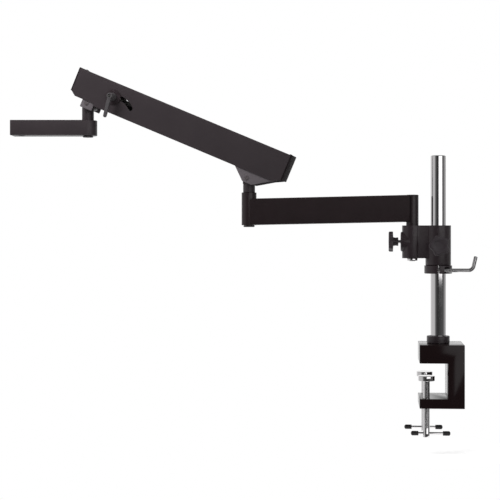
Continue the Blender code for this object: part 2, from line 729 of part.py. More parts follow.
def build_lower_arm():
    """Post, rectangular tube and elbow sleeve, welded together, with the post's nut."""
    stud = POST_STUD_DIAMETER / 2
    nut_bottom = post_lobe_bottom - GAP - POST_NUT_HEIGHT
    beam_half = BEAM_HEIGHT / 2
    seat = post_lobe_bottom + POST_SEAT
    post_top = BEAM_MIDDLE + beam_half + POST_PROUD
    post_profile = [
        (0, nut_bottom - EDGE), (stud, nut_bottom - EDGE), (stud, seat), (post_radius, seat),
        (post_radius, post_top - EDGE), (post_radius - EDGE, post_top), (0, post_top),
    ]
    finish("arm_post", turned(post_profile, LARGE), POWDER_BLACK, lower_arm)
    nut_radius = POST_NUT_DIAMETER / 2
    nut = ring(stud + GAP, nut_radius, nut_bottom, nut_bottom + POST_NUT_HEIGHT, MIDDLE, chamfer=EDGE)
    nut = finish("post_nut", nut, CHROME, lower_arm)
    for turn in (0, math.pi):
        notch_half = POST_NUT_NOTCH_WIDTH / 2
        notch = block(
            (nut_radius - POST_NUT_NOTCH, -notch_half, nut_bottom - OVERCUT),
            (nut_radius + OVERCUT, notch_half, nut_bottom + POST_NUT_NOTCH),
        )
        bmesh.ops.transform(notch, matrix=Matrix.Rotation(turn, 4, "Z"), verts=notch.verts)
        cut(nut, notch)

    half_width = post_radius + GAP + BEAM_WALL
    slope = -BEAM_DROP / ARM_LENGTH

    def tube(half_y, half_z, corner, low, high):
        section = [(-half_y, -half_z), (half_y, -half_z), (half_y, half_z), (-half_y, half_z)]
        shape = prism(section, low, high, "X")
        rounded(shape, corner, 3, lambda direction, middle: abs(direction.x) > 0.9)
        shear = Matrix.Identity(4)
        shear[2][0] = slope
        shear[2][3] = BEAM_MIDDLE
        bmesh.ops.transform(shape, matrix=shear, verts=shape.verts)
        return shape

    outer = tube(half_width, beam_half, BEAM_CORNER, BEAM_START, ARM_LENGTH)
    beam = finish("lower_arm_beam", outer, POWDER_BLACK, lower_arm)
    inner_corner = BEAM_CORNER - BEAM_WALL
    inner_width, inner_height = half_width - BEAM_WALL, beam_half - BEAM_WALL
    cut(beam, tube(inner_width, inner_height, inner_corner, -OVERCUT, ARM_LENGTH + OVERCUT))
    below, above = BEAM_MIDDLE - beam_half - OVERCUT, BEAM_MIDDLE + beam_half + OVERCUT
    cut(beam, rod(post_radius + GAP, below, above, LARGE))
    at_elbow = Matrix.Translation((ARM_LENGTH, 0, 0))
    cut(beam, rod(sleeve_radius + GAP, below, above, LARGE, at_elbow))
    bore = JOURNAL_DIAMETER / 2 + GAP + BUSH_WALL + GAP
    sleeve = ring(bore, sleeve_radius, SLEEVE_BOTTOM, SLEEVE_TOP, LARGE, at_elbow, chamfer=EDGE)
    finish("elbow_sleeve", sleeve, POWDER_BLACK, lower_arm)
    bush_outer = bore - GAP
    bush = ring(bush_outer - BUSH_WALL, bush_outer, SLEEVE_BOTTOM, SLEEVE_TOP, LARGE, at_elbow)
    finish("elbow_bush", bush, BRONZE, lower_arm)


def fork_outline(pin_z):
    """Side view of a fork: wide round the lower pin, narrow and round at the upper pin."""
    foot, shoulder = pin_z - FORK_FOOT, pin_z + FORK_SHOULDER
    points = [(-FORK_HALF_WIDTH, foot), (FORK_HALF_WIDTH, foot), (FORK_HALF_WIDTH, shoulder)]
    points += arc((0, pin_z + PIN_RISE), FORK_TIP_RADIUS, 0, 180, 8)
    points += [(-FORK_HALF_WIDTH, shoulder)]
    return points


def build_fork(end, parent, pin_z, neck_x, neck_low, journal_radius, journal_low):
    """Pivot post with a forked head; both cross holes are bored one above the other."""
    head = prism(fork_outline(pin_z), -FORK_THICKNESS / 2, FORK_THICKNESS / 2)
    rounded(head, EDGE, 1, lambda way, middle: abs(way.y) < 0.1 and middle.z > pin_z - NECK_SETBACK)
    body = finish(end + "_fork", head, POWDER_BLACK, parent)
    neck = NECK_DIAMETER / 2
    neck_top = pin_z - NECK_SETBACK
    tap = KEEPER_SCREW / 2 + GAP
    tap_end = journal_low + KEEPER_SCREW_DEPTH + GAP
    profile = [
        (0, tap_end), (tap, tap_end), (tap, journal_low), (journal_radius, journal_low),
        (journal_radius, neck_low), (neck, neck_low), (neck, neck_top - NECK_CHAMFER),
        (neck - NECK_CHAMFER, neck_top), (0, neck_top),
    ]
    join(body, turned(profile, LARGE, Matrix.Translation((neck_x, 0, 0))))
    boss = cheek_inner - GAP
    lower_axis = along(Y, (0, 0, pin_z))
    upper_axis = along(Y, (0, 0, pin_z + PIN_RISE))
    join(body, rod(FORK_BOSS_DIAMETER / 2, -boss, boss, MIDDLE, lower_axis, chamfer=EDGE))
    slot = LINK_THICKNESS / 2 + GAP
    slot_low = pin_z + PIN_RISE - FORK_SLOT_DEPTH
    cut(body, block((-OVERCUT, -slot, slot_low), (OVERCUT, slot, pin_z + PIN_RISE + OVERCUT)))
    cut(body, rod(PIN_DIAMETER / 2 + GAP, -boss - OVERCUT, boss + OVERCUT, MIDDLE, lower_axis))
    cut(body, rod(UPPER_PIN_DIAMETER / 2 + GAP, -OVERCUT, OVERCUT, SMALL, upper_axis))
    reach = FORK_THICKNESS / 2 - GAP
    upper = rod(UPPER_PIN_DIAMETER / 2, -reach, reach, SMALL, upper_axis, chamfer=EDGE)
    finish(end + "_upper_pin", upper, ZINC, parent)


def build_keeper(end, parent, neck_x, journal_low, radius, height):
    """Washer under a journal, with a countersunk screw that lies flush in it."""
    placing = Matrix.Translation((neck_x, 0, 0))
    shank, head = KEEPER_SCREW / 2, KEEPER_SCREW_HEAD / 2
    top = journal_low - GAP
    low = top - height
    bore = shank + GAP
    sink = head + GAP * math.sqrt(2)
    washer_profile = [
        (sink, low), (radius - EDGE, low), (radius, low + EDGE), (radius, top - EDGE), (radius - EDGE, top),
        (bore, top), (bore, low + sink - bore),
    ]
    finish(end + "_keeper_washer", turned(washer_profile, MIDDLE, placing, hollow=True), SATIN_BLACK, parent)
    tip = journal_low + KEEPER_SCREW_DEPTH
    screw_profile = [
        (0, low + SOCKET_DEPTH), (SOCKET_RADIUS, low + SOCKET_DEPTH), (SOCKET_RADIUS, low), (head, low),
        (shank, low + head - shank), (shank, tip), (0, tip),
    ]
    finish(end + "_keeper_screw", turned(screw_profile, MIDDLE, placing), ZINC, parent)


def side_outline():
    """Side view of the folded housing, from the rear bottom corner round to the front."""
    back = -HOUSING_BACK + END_PLATE + GAP
    front = housing_front - END_PLATE - GAP
    crown = HOUSING_CROWN
    notch = crown - FRONT_NOTCH_HEIGHT
    notch_start = housing_front - FRONT_NOTCH_LENGTH
    return [
        (back, crown - REAR_END_HEIGHT), (-HOUSING_BACK + REAR_CHAMFER, housing_floor),
        (notch_start, housing_floor), (notch_start, notch), (housing_front - FRONT_CHAMFER, notch),
        (front, crown - FRONT_END_HEIGHT), (front, crown), (back, crown),
    ]


def slot_path(radius_change, low, high, steps):
    """Points of the bolt's path in the housing's frame, seen as the arm tilts."""
    points = []
    for i in range(steps + 1):
        angle = low + (high - low) * i / steps
        radius = PIN_RISE + radius_change
        centre_x = bolt_x - PIN_RISE * math.sin(TILT)
        centre_z = BOLT_Z - PIN_RISE * math.cos(TILT)
        points.append((centre_x + radius * math.sin(angle), centre_z + radius * math.cos(angle)))
    return points


def slot_outline():
    """The arc slot: the bolt's path with a round at each end."""
    half = SLOT_WIDTH / 2
    low, high = LOW_TILT - SLOT_MARGIN, TILT + SLOT_MARGIN
    outer = slot_path(half, low, high, 10)
    inner = slot_path(-half, low, high, 10)
    front_x, front_z = slot_path(0, high, high, 1)[0]
    rear_x, rear_z = slot_path(0, low, low, 1)[0]
    front_cap = arc((front_x, front_z), half, 90 - math.degrees(high), -90 - math.degrees(high), 8)
    rear_cap = arc((rear_x, rear_z), half, 270 - math.degrees(low), 90 - math.degrees(low), 8)
    return outer[:-1] + front_cap + inner[::-1][1:-1] + rear_cap[:-1]


def build_housing():
    """Folded sheet channel, its end plates with their screws, and the cheeks for the pins."""
    half = HOUSING_WIDTH / 2
    crown = HOUSING_CROWN
    back, front = -HOUSING_BACK, housing_front
    shell = prism(side_outline(), -half, half)
    round_top(shell, HOUSING_BEND, crown, 4)
    body = finish("arm_housing", shell, POWDER_BLACK, spring_arm)
    inside_high = crown - HOUSING_SHEET
    inside_low = housing_floor - OVERCUT
    inside = block((back - OVERCUT, -housing_inner, inside_low), (front + OVERCUT, housing_inner, inside_high))
    inner_bend = HOUSING_BEND - HOUSING_SHEET
    round_top(inside, inner_bend, inside_high, 2)
    cut(body, inside)
    lip_start = back + REAR_CHEEK_TOP[1] + LIP_SETBACK
    lip_end = front - FRONT_NOTCH_LENGTH - LIP_SETBACK
    for sign in (-1, 1):
        low_y, high_y = sorted((sign * (housing_inner - LIP_WIDTH), sign * (half - HOUSING_SHEET / 2)))
        lip_top = housing_floor + HOUSING_SHEET
        join(body, block((lip_start, low_y, housing_floor), (lip_end, high_y, lip_top)))
    cut(body, prism(slot_outline(), -half - OVERCUT, half + OVERCUT))
    build_end("rear", body, back, 1, REAR_END_HEIGHT)
    build_end("front", body, front, -1, FRONT_END_HEIGHT)


def build_end(end, body, x, inward, height):
    """End plate with the flange that its cover screw holds under the housing's top."""
    half = HOUSING_WIDTH / 2
    crown = HOUSING_CROWN
    placing = Matrix.Translation((x + inward * COVER_SCREW_INSET, 0, 0))
    shank, head = COVER_SCREW_DIAMETER / 2, COVER_SCREW_HEAD / 2
    cut(body, rod(shank + GAP, crown - HOUSING_SHEET - OVERCUT, crown + OVERCUT, SMALL, placing))
    low, high = sorted((x, x + inward * END_PLATE))
    plate = block((low, -half, crown - height), (high, half, crown + END_PLATE_PROUD))
    round_top(plate, END_PLATE_CORNER, crown, 2)
    plate = finish(end + "_end_plate", plate, POWDER_BLACK, spring_arm)
    flange_top = crown - HOUSING_SHEET - GAP
    low, high = sorted((x + inward * END_PLATE / 2, x + inward * END_FLANGE))
    reach = housing_inner - HOUSING_BEND
    join(plate, block((low, -reach, flange_top - END_PLATE), (high, reach, flange_top)))
    cut(plate, rod(shank + GAP, flange_top - OVERCUT, flange_top + EDGE, SMALL, placing))
    seat, tip = crown + GAP, crown - COVER_SCREW_DEPTH
    profile = [
        (0, tip), (shank, tip), (shank, seat), (head, seat), (head, seat + 0.0006),
        (head * 0.8, seat + 0.0013), (head * 0.45, seat + 0.0016), (0, seat + 0.0016),
    ]
    finish(end + "_cover_screw", turned(profile, SMALL, placing), ZINC, spring_arm)


def build_cheeks(end, outline, pin_x, pin_z):
    """A pair of cheeks inside the housing's walls, with the lower pin."""
    placing = along(Y, (pin_x, 0, pin_z))
    for side, low, high in (("near", cheek_inner, cheek_outer), ("far", -cheek_outer, -cheek_inner)):
        cheek = finish("{}_cheek_{}".format(end, side), prism(outline, low, high), POWDER_BLACK, spring_arm)
        cut(cheek, rod(PIN_DIAMETER / 2 + GAP, low - OVERCUT, high + OVERCUT, MIDDLE, placing))
    shank, head = PIN_DIAMETER / 2, PIN_HEAD_DIAMETER / 2
    seat = cheek_outer + GAP
    crown = seat + PIN_HEAD_THICKNESS
    flat = head * PIN_HEAD_FLAT
    profile = [
        (0, -crown), (flat, -crown), (head, -crown + EDGE), (head, -seat), (shank, -seat),
        (shank, seat), (head, seat), (head, crown - EDGE), (flat, crown), (0, crown),
    ]
    finish(end + "_lower_pin", turned(profile, MIDDLE, placing), ZINC, spring_arm)


def rear_cheek_outline():
    """Trapezoid that hangs below the housing, with its upper part inside the wall."""
    foot = housing_floor - REAR_CHEEK_DEPTH
    left, right = (s - HOUSING_BACK for s in REAR_CHEEK_TOP)
    foot_left, foot_right = (s - HOUSING_BACK for s in REAR_CHEEK_FOOT)
    top = housing_floor + CHEEK_OVERLAP
    corners = [(left, housing_floor), (foot_left, foot), (foot_right, foot), (right, housing_floor)]
    points = [(left, top), (left, housing_floor)]
    points += rounded_corner(*corners[:3], CHEEK_CORNER)
    points += rounded_corner(*corners[1:], CHEEK_CORNER)
    points += [(right, housing_floor), (right, top)]
    return points


def front_cheek_outline():
    """Small tongue below the housing's front notch."""
    foot = housing_floor - FRONT_CHEEK_DEPTH
    left, right = (SPRING_ARM_LENGTH + s for s in FRONT_CHEEK_SPAN)
    top = housing_floor + CHEEK_OVERLAP
    points = [(left, top)]
    points += rounded_corner((left, top), (left, foot), (right, foot), CHEEK_CORNER)
    points += rounded_corner((left, foot), (right, foot), (right, top), CHEEK_CORNER)
    points += [(right, top)]
    return points


def build_upper_link():
    """Link bar with two eyes, the tube for the lock bolt, and the tongue for the springs."""
    half = LINK_THICKNESS / 2
    pin_x, pin_z = to_link(spring_pin_x, SPRING_Z)
    low, tongue = -LINK_HALF_HEIGHT, TONGUE_WIDTH / 2
    front = link_length - LINK_EYE_REACH
    bar = arc((0, 0), LINK_EYE_RADIUS, 60, 300, 10) + [(LINK_EYE_REACH, low), (pin_x - tongue, low)]
    bar += arc((pin_x, pin_z), tongue, 180, 360, 8) + [(pin_x + tongue, low), (front, low)]
    bar += arc((link_length, 0), LINK_EYE_RADIUS, -120, 120, 10)
    bar += [(front, LINK_HALF_HEIGHT), (LINK_EYE_REACH, LINK_HALF_HEIGHT)]
    body = finish("upper_link", prism(bar, -half, half), ZINC, upper_link)
    tube_reach = housing_inner - GAP
    join(body, rod(BOLT_SPACER_DIAMETER / 2, -tube_reach, tube_reach, MIDDLE, bolt_axis))
    cut(body, rod(BOLT_DIAMETER / 2 + GAP, -tube_reach - OVERCUT, tube_reach + OVERCUT, SMALL, bolt_axis))
    pin_axis = along(Y, (pin_x, 0, pin_z))
    cut(body, rod(SPRING_PIN_DIAMETER / 2 + GAP, -OVERCUT, OVERCUT, SMALL, pin_axis))
    for x in (0, link_length):
        cut(body, rod(UPPER_PIN_DIAMETER / 2 + GAP, -OVERCUT, OVERCUT, SMALL, along(Y, (x, 0, 0))))
    reach = spring_offset + SPRING_DIAMETER / 2
    pin = rod(SPRING_PIN_DIAMETER / 2, -reach, reach, SMALL, pin_axis, chamfer=EDGE)
    finish("spring_pin", pin, ZINC, upper_link)


def build_lock():
    """Lock bolt across the housing, its washers and nut, and the clamping lever on the near side."""
    wall = HOUSING_WIDTH / 2 + GAP
    washer_top = wall + LOCK_WASHER_THICKNESS
    hub_low = washer_top + GAP
    hub_high = hub_low + LEVER_HUB_LENGTH
    bolt_high = hub_high - LEVER_BLIND
    nut_top = -wall - FAR_WASHER_THICKNESS - GAP
    bolt_low = nut_top - LOCK_NUT_THICKNESS - BOLT_END
    radius = BOLT_DIAMETER / 2
    bore = radius + GAP
    finish("lock_bolt", rod(radius, bolt_low, bolt_high, MIDDLE, bolt_axis, chamfer=EDGE), ZINC, upper_link)
    washer = ring(bore, LOCK_WASHER_DIAMETER / 2, wall, washer_top, LARGE, bolt_axis, chamfer=EDGE)
    finish("lock_washer", washer, CAST_GREY, upper_link)
    far_washer = ring(bore, FAR_WASHER_DIAMETER / 2, -wall - FAR_WASHER_THICKNESS, -wall, MIDDLE, bolt_axis)
    finish("lock_far_washer", far_washer, ZINC, upper_link)
    across = LOCK_NUT_ACROSS_FLATS / 2 / math.cos(math.pi / 6)
    nut = rod(across, nut_top - LOCK_NUT_THICKNESS, nut_top, 6, bolt_axis)
    nut = finish("lock_nut", nut, ZINC, upper_link)
    cut(nut, rod(bore, nut_top - LOCK_NUT_THICKNESS - OVERCUT, nut_top + OVERCUT, MIDDLE, bolt_axis))

    low, top = LEVER_HUB_DIAMETER / 2, LEVER_TOP_DIAMETER / 2
    collar_high = hub_low + LEVER_COLLAR
    socket_low = hub_high - LEVER_SOCKET_DEPTH
    hub_profile = [
        (0, bolt_high + GAP), (bore, bolt_high + GAP), (bore, hub_low), (low, hub_low), (low, collar_high),
        (top, collar_high + LEVER_TAPER), (top, hub_high - EDGE), (top - EDGE, hub_high),
        (LEVER_SOCKET_RADIUS, hub_high), (LEVER_SOCKET_RADIUS, socket_low), (0, socket_low),
    ]
    lever = finish("lock_lever", turned(hub_profile, MIDDLE, along(Y)), CAST_GREY, lever_turn)
    root, tip = LEVER_ROOT_WIDTH / 2, LEVER_TIP_WIDTH / 2
    inside = top * 0.7
    handle = [(inside, -root)] + arc((LEVER_LENGTH - tip, 0), tip, -90, 90, 8) + [(inside, root)]
    middle = hub_high - LEVER_THICKNESS / 2 - EDGE
    arm = prism(handle, middle - LEVER_THICKNESS / 2, middle + LEVER_THICKNESS / 2)
    rounded(arm, LEVER_EDGE, 2, lambda direction, where: abs(direction.y) < 0.5)
    bmesh.ops.transform(arm, matrix=Matrix.Rotation(LEVER_ANGLE, 4, "Y"), verts=arm.verts)
    join(lever, arm)


def build_springs():
    """Two tension springs between the link's tongue and a bar near the housing's front."""
    hook = SPRING_PIN_DIAMETER / 2 + GAP + SPRING_WIRE / 2
    start = spring_pin_x + hook
    end = spring_bar_x - hook
    bar_reach = housing_inner - GAP
    bar = rod(SPRING_PIN_DIAMETER / 2, -bar_reach, bar_reach, SMALL, along(Y, (spring_bar_x, 0, SPRING_Z)))
    finish("spring_bar", bar, ZINC, spring_arm)
    coil_start, coil_length = start + SPRING_LEG, end - start - 2 * SPRING_LEG
    radius = SPRING_DIAMETER / 2 - SPRING_WIRE / 2
    steps = SPRING_TURNS * SPRING_STEPS
    for side, y in (("near", spring_offset), ("far", -spring_offset)):
        path = [Vector((start, y, SPRING_Z)), Vector((start + SPRING_LEG / 2, y, SPRING_Z))]
        for i in range(steps + 1):
            angle = math.tau * SPRING_TURNS * i / steps
            x = coil_start + coil_length * i / steps
            path.append(Vector((x, y + radius * math.sin(angle), SPRING_Z + radius * math.cos(angle))))
        path += [Vector((end - SPRING_LEG / 2, y, SPRING_Z)), Vector((end, y, SPRING_Z))]
        spring = swept(path, SPRING_WIRE / 2, SPRING_SIDES, X + Z * 0.01)
        finish("balance_spring_" + side, spring, SPRING_STEEL, spring_arm)


def build_front_arm():
    """Short flat arm with a round pivot end and the accessory bore near its tip."""
    half = FRONT_ARM_WIDTH / 2
    low, high = -FRONT_ARM_DROP, front_arm_top
    outline = [(FRONT_ARM_LENGTH, -half), (FRONT_ARM_LENGTH, half)] + arc((0, 0), half, 90, 270, 14)
    shape = prism(outline, low, high, "Z")
    rounded(shape, EDGE, 1, lambda direction, middle: True)
    body = finish("front_arm", shape, POWDER_BLACK, front_arm)
    cut(body, rod(FRONT_JOURNAL_DIAMETER / 2 + GAP, low - OVERCUT, high + OVERCUT, MIDDLE))
    cut(body, rod(FRONT_KEEPER_DIAMETER / 2 + GAP, low - OVERCUT, low + KEEPER_RELIEF, MIDDLE))
    bore_x = FRONT_ARM_LENGTH - ACCESSORY_INSET
    bore_radius = ACCESSORY_BORE / 2
    cut(body, rod(bore_radius, low - OVERCUT, high + OVERCUT, MIDDLE, Matrix.Translation((bore_x, 0, 0))))
    tip_axis = along(X, (0, 0, (low + high) / 2))
    cut(body, rod(SET_SCREW_DIAMETER / 2 + GAP, bore_x, FRONT_ARM_LENGTH + OVERCUT, SMALL, tip_axis))
    point, end = bore_x + bore_radius + GAP, FRONT_ARM_LENGTH - SET_SCREW_INSET
    build_set_screw("tip_set_screw", point, end, tip_axis, front_arm)


build_clamp()
build_clamp_screw("near", -SCREW_SPACING / 2)
build_clamp_screw("far", SCREW_SPACING / 2)
build_pillar()
build_safety_collar()
build_coupling()
build_knob("pillar_knob", pillar_knob, -Y, pillar_radius, PILLAR_LOBE, math.radians(180))
build_knob("post_knob", post_knob, -X, post_radius, POST_LOBE, math.radians(90))
build_lower_arm()
build_fork("elbow", elbow, REAR_PIN_Z, 0, SLEEVE_TOP + GAP, JOURNAL_DIAMETER / 2, SLEEVE_BOTTOM)
build_keeper("elbow", elbow, 0, SLEEVE_BOTTOM, KEEPER_DIAMETER / 2, KEEPER_THICKNESS)
build_housing()
build_cheeks("rear", rear_cheek_outline(), 0, 0)
build_cheeks("front", front_cheek_outline(), SPRING_ARM_LENGTH, FRONT_PIN_LIFT)
build_upper_link()
build_lock()
build_springs()
front_journal, front_keeper = FRONT_JOURNAL_DIAMETER / 2, FRONT_KEEPER_DIAMETER / 2
build_fork("nose", nose, 0, FRONT_PIN_SETBACK, front_arm_top + GAP, front_journal, -FRONT_ARM_DROP)
build_keeper("nose", nose, FRONT_PIN_SETBACK, -FRONT_ARM_DROP, front_keeper, FRONT_KEEPER_THICKNESS)
build_front_arm()
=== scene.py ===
import json
from math import asin, atan2, cos, degrees, pi, radians, sin, sqrt, tau

import bmesh
import bpy
from mathutils import Matrix, Vector


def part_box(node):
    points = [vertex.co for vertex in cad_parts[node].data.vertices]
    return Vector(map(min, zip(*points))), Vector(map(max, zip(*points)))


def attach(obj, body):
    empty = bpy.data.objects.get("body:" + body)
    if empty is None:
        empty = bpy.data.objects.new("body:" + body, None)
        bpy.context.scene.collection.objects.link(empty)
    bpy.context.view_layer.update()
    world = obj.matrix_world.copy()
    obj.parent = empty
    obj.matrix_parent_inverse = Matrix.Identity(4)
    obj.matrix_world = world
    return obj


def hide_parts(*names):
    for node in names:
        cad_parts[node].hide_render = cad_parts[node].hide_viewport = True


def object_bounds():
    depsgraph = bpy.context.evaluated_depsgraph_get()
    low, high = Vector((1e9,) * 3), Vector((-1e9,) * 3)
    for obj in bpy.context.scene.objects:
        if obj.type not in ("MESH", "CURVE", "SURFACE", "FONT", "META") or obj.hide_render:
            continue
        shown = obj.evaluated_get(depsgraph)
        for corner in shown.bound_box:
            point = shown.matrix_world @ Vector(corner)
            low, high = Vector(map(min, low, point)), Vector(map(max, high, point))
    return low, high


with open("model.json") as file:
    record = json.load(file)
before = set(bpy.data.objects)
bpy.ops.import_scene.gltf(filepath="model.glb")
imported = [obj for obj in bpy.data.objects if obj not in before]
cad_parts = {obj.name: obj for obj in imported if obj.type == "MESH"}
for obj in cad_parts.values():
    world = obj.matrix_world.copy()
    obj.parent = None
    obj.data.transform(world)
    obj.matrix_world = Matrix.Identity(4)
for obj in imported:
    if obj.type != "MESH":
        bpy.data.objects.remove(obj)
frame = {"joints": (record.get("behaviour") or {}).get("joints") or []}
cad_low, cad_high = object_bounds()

# Clamp body
# A steel block milled to a C, with a blind socket for the pillar in its upper jaw and two
# tapped holes through the lower one. It is stoved with gloss black enamel.
MM = 0.001
CLEARANCE = 0.3 * MM
X, Y, Z = Vector((1, 0, 0)), Vector((0, 1, 0)), Vector((0, 0, 1))
JAW_UNDERSIDE = 0.0
JAW_OPENING = 71.3 * MM
SPINE = 33.5 * MM
PILLAR_RADIUS = 16 * MM
SOCKET_DEPTH = 20 * MM
SCREW_RADIUS = 6.9 * MM
HOLE_CHAMFER = 0.8 * MM
joint = {entry["name"]: entry for entry in frame["joints"]}


def linear(hex_colour):
    """An sRGB hex colour as the linear RGBA that Blender's sockets hold."""
    channels = [int(hex_colour[i:i + 2], 16) / 255 for i in (0, 2, 4)]
    return tuple(c / 12.92 if c <= 0.04045 else ((c + 0.055) / 1.055) ** 2.4 for c in channels) + (1.0,)


def add(tree, kind, inputs=None, **settings):
    """Adds one node: settings are its properties, inputs are values or sockets to link from."""
    node = tree.nodes.new(kind)
    for key, value in settings.items():
        setattr(node, key, value)
    for key, value in (inputs or {}).items():
        if isinstance(value, bpy.types.NodeSocket):
            tree.links.new(value, node.inputs[key])
        else:
            node.inputs[key].default_value = value
    return node


def pattern(tree, grain, detail=2.0, stretch=(1, 1, 1)):
    """Noise whose grains have this size, laid in the piece's own space; stretch lengthens them."""
    place = add(tree, "ShaderNodeTexCoord").outputs["Object"]
    scaled = add(tree, "ShaderNodeMapping",
                 {"Vector": place, "Scale": tuple(1 / (grain * s) for s in stretch)})
    return add(tree, "ShaderNodeTexNoise",
               {"Vector": scaled.outputs[0], "Scale": 1.0, "Detail": detail}).outputs[0]


def new_finish(name, slot, colour, roughness, grain, depth, edge=0.5 * MM, clouds=None, gloss=None, shape=(),
               **settings):
    """A finish and its slot: bump of this grain and depth over slightly rounded edges, a colour that
    clouds=(grain, dark, light) moves, and a roughness that gloss=(grain, low, high) moves."""
    made = bpy.data.materials.new(name)
    made.use_nodes = True
    tree = made.node_tree
    shader = tree.nodes["Principled BSDF"]
    for key, value in {"Base Color": linear(colour), "Roughness": roughness, **settings}.items():
        shader.inputs[key].default_value = value
    if clouds:
        size, dark, light = clouds
        mix = add(tree, "ShaderNodeMix", {
            "Factor": pattern(tree, size), "A": linear(dark), "B": linear(light),
        }, data_type="RGBA")
        tree.links.new(mix.outputs["Result"], shader.inputs["Base Color"])
    if gloss:
        size, low, high = gloss
        spread = add(tree, "ShaderNodeMapRange", {
            "Value": pattern(tree, size), "From Min": 0.3, "From Max": 0.7, "To Min": low, "To Max": high,
        })
        tree.links.new(spread.outputs[0], shader.inputs["Roughness"])
    soft = add(tree, "ShaderNodeBevel", {"Radius": edge}, samples=6)
    bump = add(tree, "ShaderNodeBump", {
        "Height": pattern(tree, grain, *shape), "Distance": depth, "Normal": soft.outputs[0],
    })
    tree.links.new(bump.outputs[0], shader.inputs["Normal"])
    return made, slot


def pivot(name):
    """The point that a joint turns about."""
    return Vector(joint[name]["pos_m"])


def placed(shape, matrix):
    bmesh.ops.transform(shape, matrix=matrix, verts=shape.verts)
    return shape


def shift(x, y=0, z=0):
    return Matrix.Translation((x, y, z))


def along(axis, at=(0, 0, 0)):
    """A matrix that lays local +Z along an axis from a point."""
    return shift(*at) @ Z.rotation_difference(Vector(axis)).to_matrix().to_4x4()


def crosswise(shape, x, z):
    """An upright shape laid along Y, with its middle at this x and z."""
    return placed(shape, along(Y, (x, 0, z)))


def full_turn(count):
    return [tau * i / count for i in range(count)]


def bridge(shape, rings):
    """Faces between each ring of vertices and the next; a ring of one vertex is a tip."""
    for low, high in zip(rings, rings[1:]):
        count = max(len(low), len(high))
        for i in range(count):
            j = (i + 1) % count
            corners = [low[i % len(low)], low[j % len(low)], high[j % len(high)], high[i % len(high)]]
            shape.faces.new(list(dict.fromkeys(corners)))


def turned(profile, segments=96, hollow=False):
    """A solid of revolution from (radius, height) points, low to high outside, as a lathe makes it."""
    shape = bmesh.new()
    flat_low = not hollow and profile[0][1] == profile[1][1]
    flat_high = not hollow and profile[-1][1] == profile[-2][1]
    rings = []
    for radius, height in profile[flat_low:len(profile) - flat_high]:
        turns = full_turn(segments if radius > 0 else 1)
        rings.append([shape.verts.new((radius * cos(t), radius * sin(t), height)) for t in turns])
    bridge(shape, rings + rings[:hollow])
    if flat_low:
        shape.faces.new(rings[0])
    if flat_high:
        shape.faces.new(rings[-1])
    return shape


def round_edge(radius, height, size, up, steps=4):
    """Profile points that round a turned edge, from outside the corner to its far side."""
    points = []
    sign = 1 if up else -1
    for i in range(steps + 1):
        angle = pi / 2 * i / steps
        points.append((radius - size * (1 - cos(angle)), height - sign * size * (1 - sin(angle))))
    return points if up else points[::-1]


def flank(radius, low, high, size, top_size=None):
    """Profile points of a turned wall with both of its edges rounded."""
    return round_edge(radius, low, size, False) + round_edge(radius, high, top_size or size, True)


def rod(radius, low, high, segments):
    """A plain cylinder, or a hexagon where it has six sides."""
    return turned([(0, low), (radius, low), (radius, high), (0, high)], segments)


def bar(radius, low, high, size=0.5 * MM, segments=96):
    """A round bar with rounded ends."""
    return turned([(0, low)] + flank(radius, low, high, size) + [(0, high)], segments)


def drill(radius, low, high, segments=48):
    """A cutter for the bore in which a bar of this radius runs."""
    return bar(radius + CLEARANCE, low, high, 0.1 * MM, segments)


def flared(radius, low, high, flare, depth, segments=96):
    """A cutter for a through bore with chamfered mouths: flare is their width, depth how far in they go."""
    mouth = radius + flare
    out = flare - depth
    return turned([(0, low - out), (mouth, low - out), (radius, low + depth), (radius, high - depth),
                   (mouth, high + out), (0, high + out)], segments)


def tube(inner, outer, low, high, size=0.5 * MM, segments=96):
    """A ring or sleeve with rounded outer edges and sharp bore."""
    return turned([(inner, low)] + flank(outer, low, high, size) + [(inner, high)], segments, hollow=True)


def prism(outline, low, high, axis="Y"):
    """An outline extruded along an axis: (x, z) for Y, (x, y) for Z, (y, z) for X."""
    shape = bmesh.new()
    places = {"X": lambda a, b, c: (c, a, b), "Y": lambda a, b, c: (a, c, b), "Z": lambda a, b, c: (a, b, c)}
    ends = [[shape.verts.new(places[axis](a, b, level)) for a, b in outline] for level in (low, high)]
    shape.faces.new(ends[0])
    shape.faces.new(ends[1])
    bridge(shape, ends)
    bmesh.ops.recalc_face_normals(shape, faces=shape.faces)
    return shape


def block(low, high):
    outline = [(low[0], low[1]), (high[0], low[1]), (high[0], high[1]), (low[0], high[1])]
    return prism(outline, low[2], high[2], "Z")


def arc(centre, radius, start, end, steps, rise=None):
    """Points on an arc, angles in degrees; with a rise it is part of an ellipse."""
    angles = [radians(start + (end - start) * i / steps) for i in range(steps + 1)]
    return [(centre[0] + radius * cos(a), centre[1] + (rise or radius) * sin(a)) for a in angles]


def rounded(shape, width, segments=3, wanted=lambda direction, middle: True):
    """Rounds the sharp edges for which wanted(direction, middle) is true."""
    edges = []
    for edge in shape.edges:
        first, second = (v.co for v in edge.verts)
        sharp = edge.calc_face_angle(0) > radians(30)
        if sharp and wanted((second - first).normalized(), (first + second) / 2):
            edges.append(edge)
    bmesh.ops.bevel(shape, geom=edges, offset=width, segments=segments, profile=0.5, affect="EDGES",
                    clamp_overlap=True)
    return shape


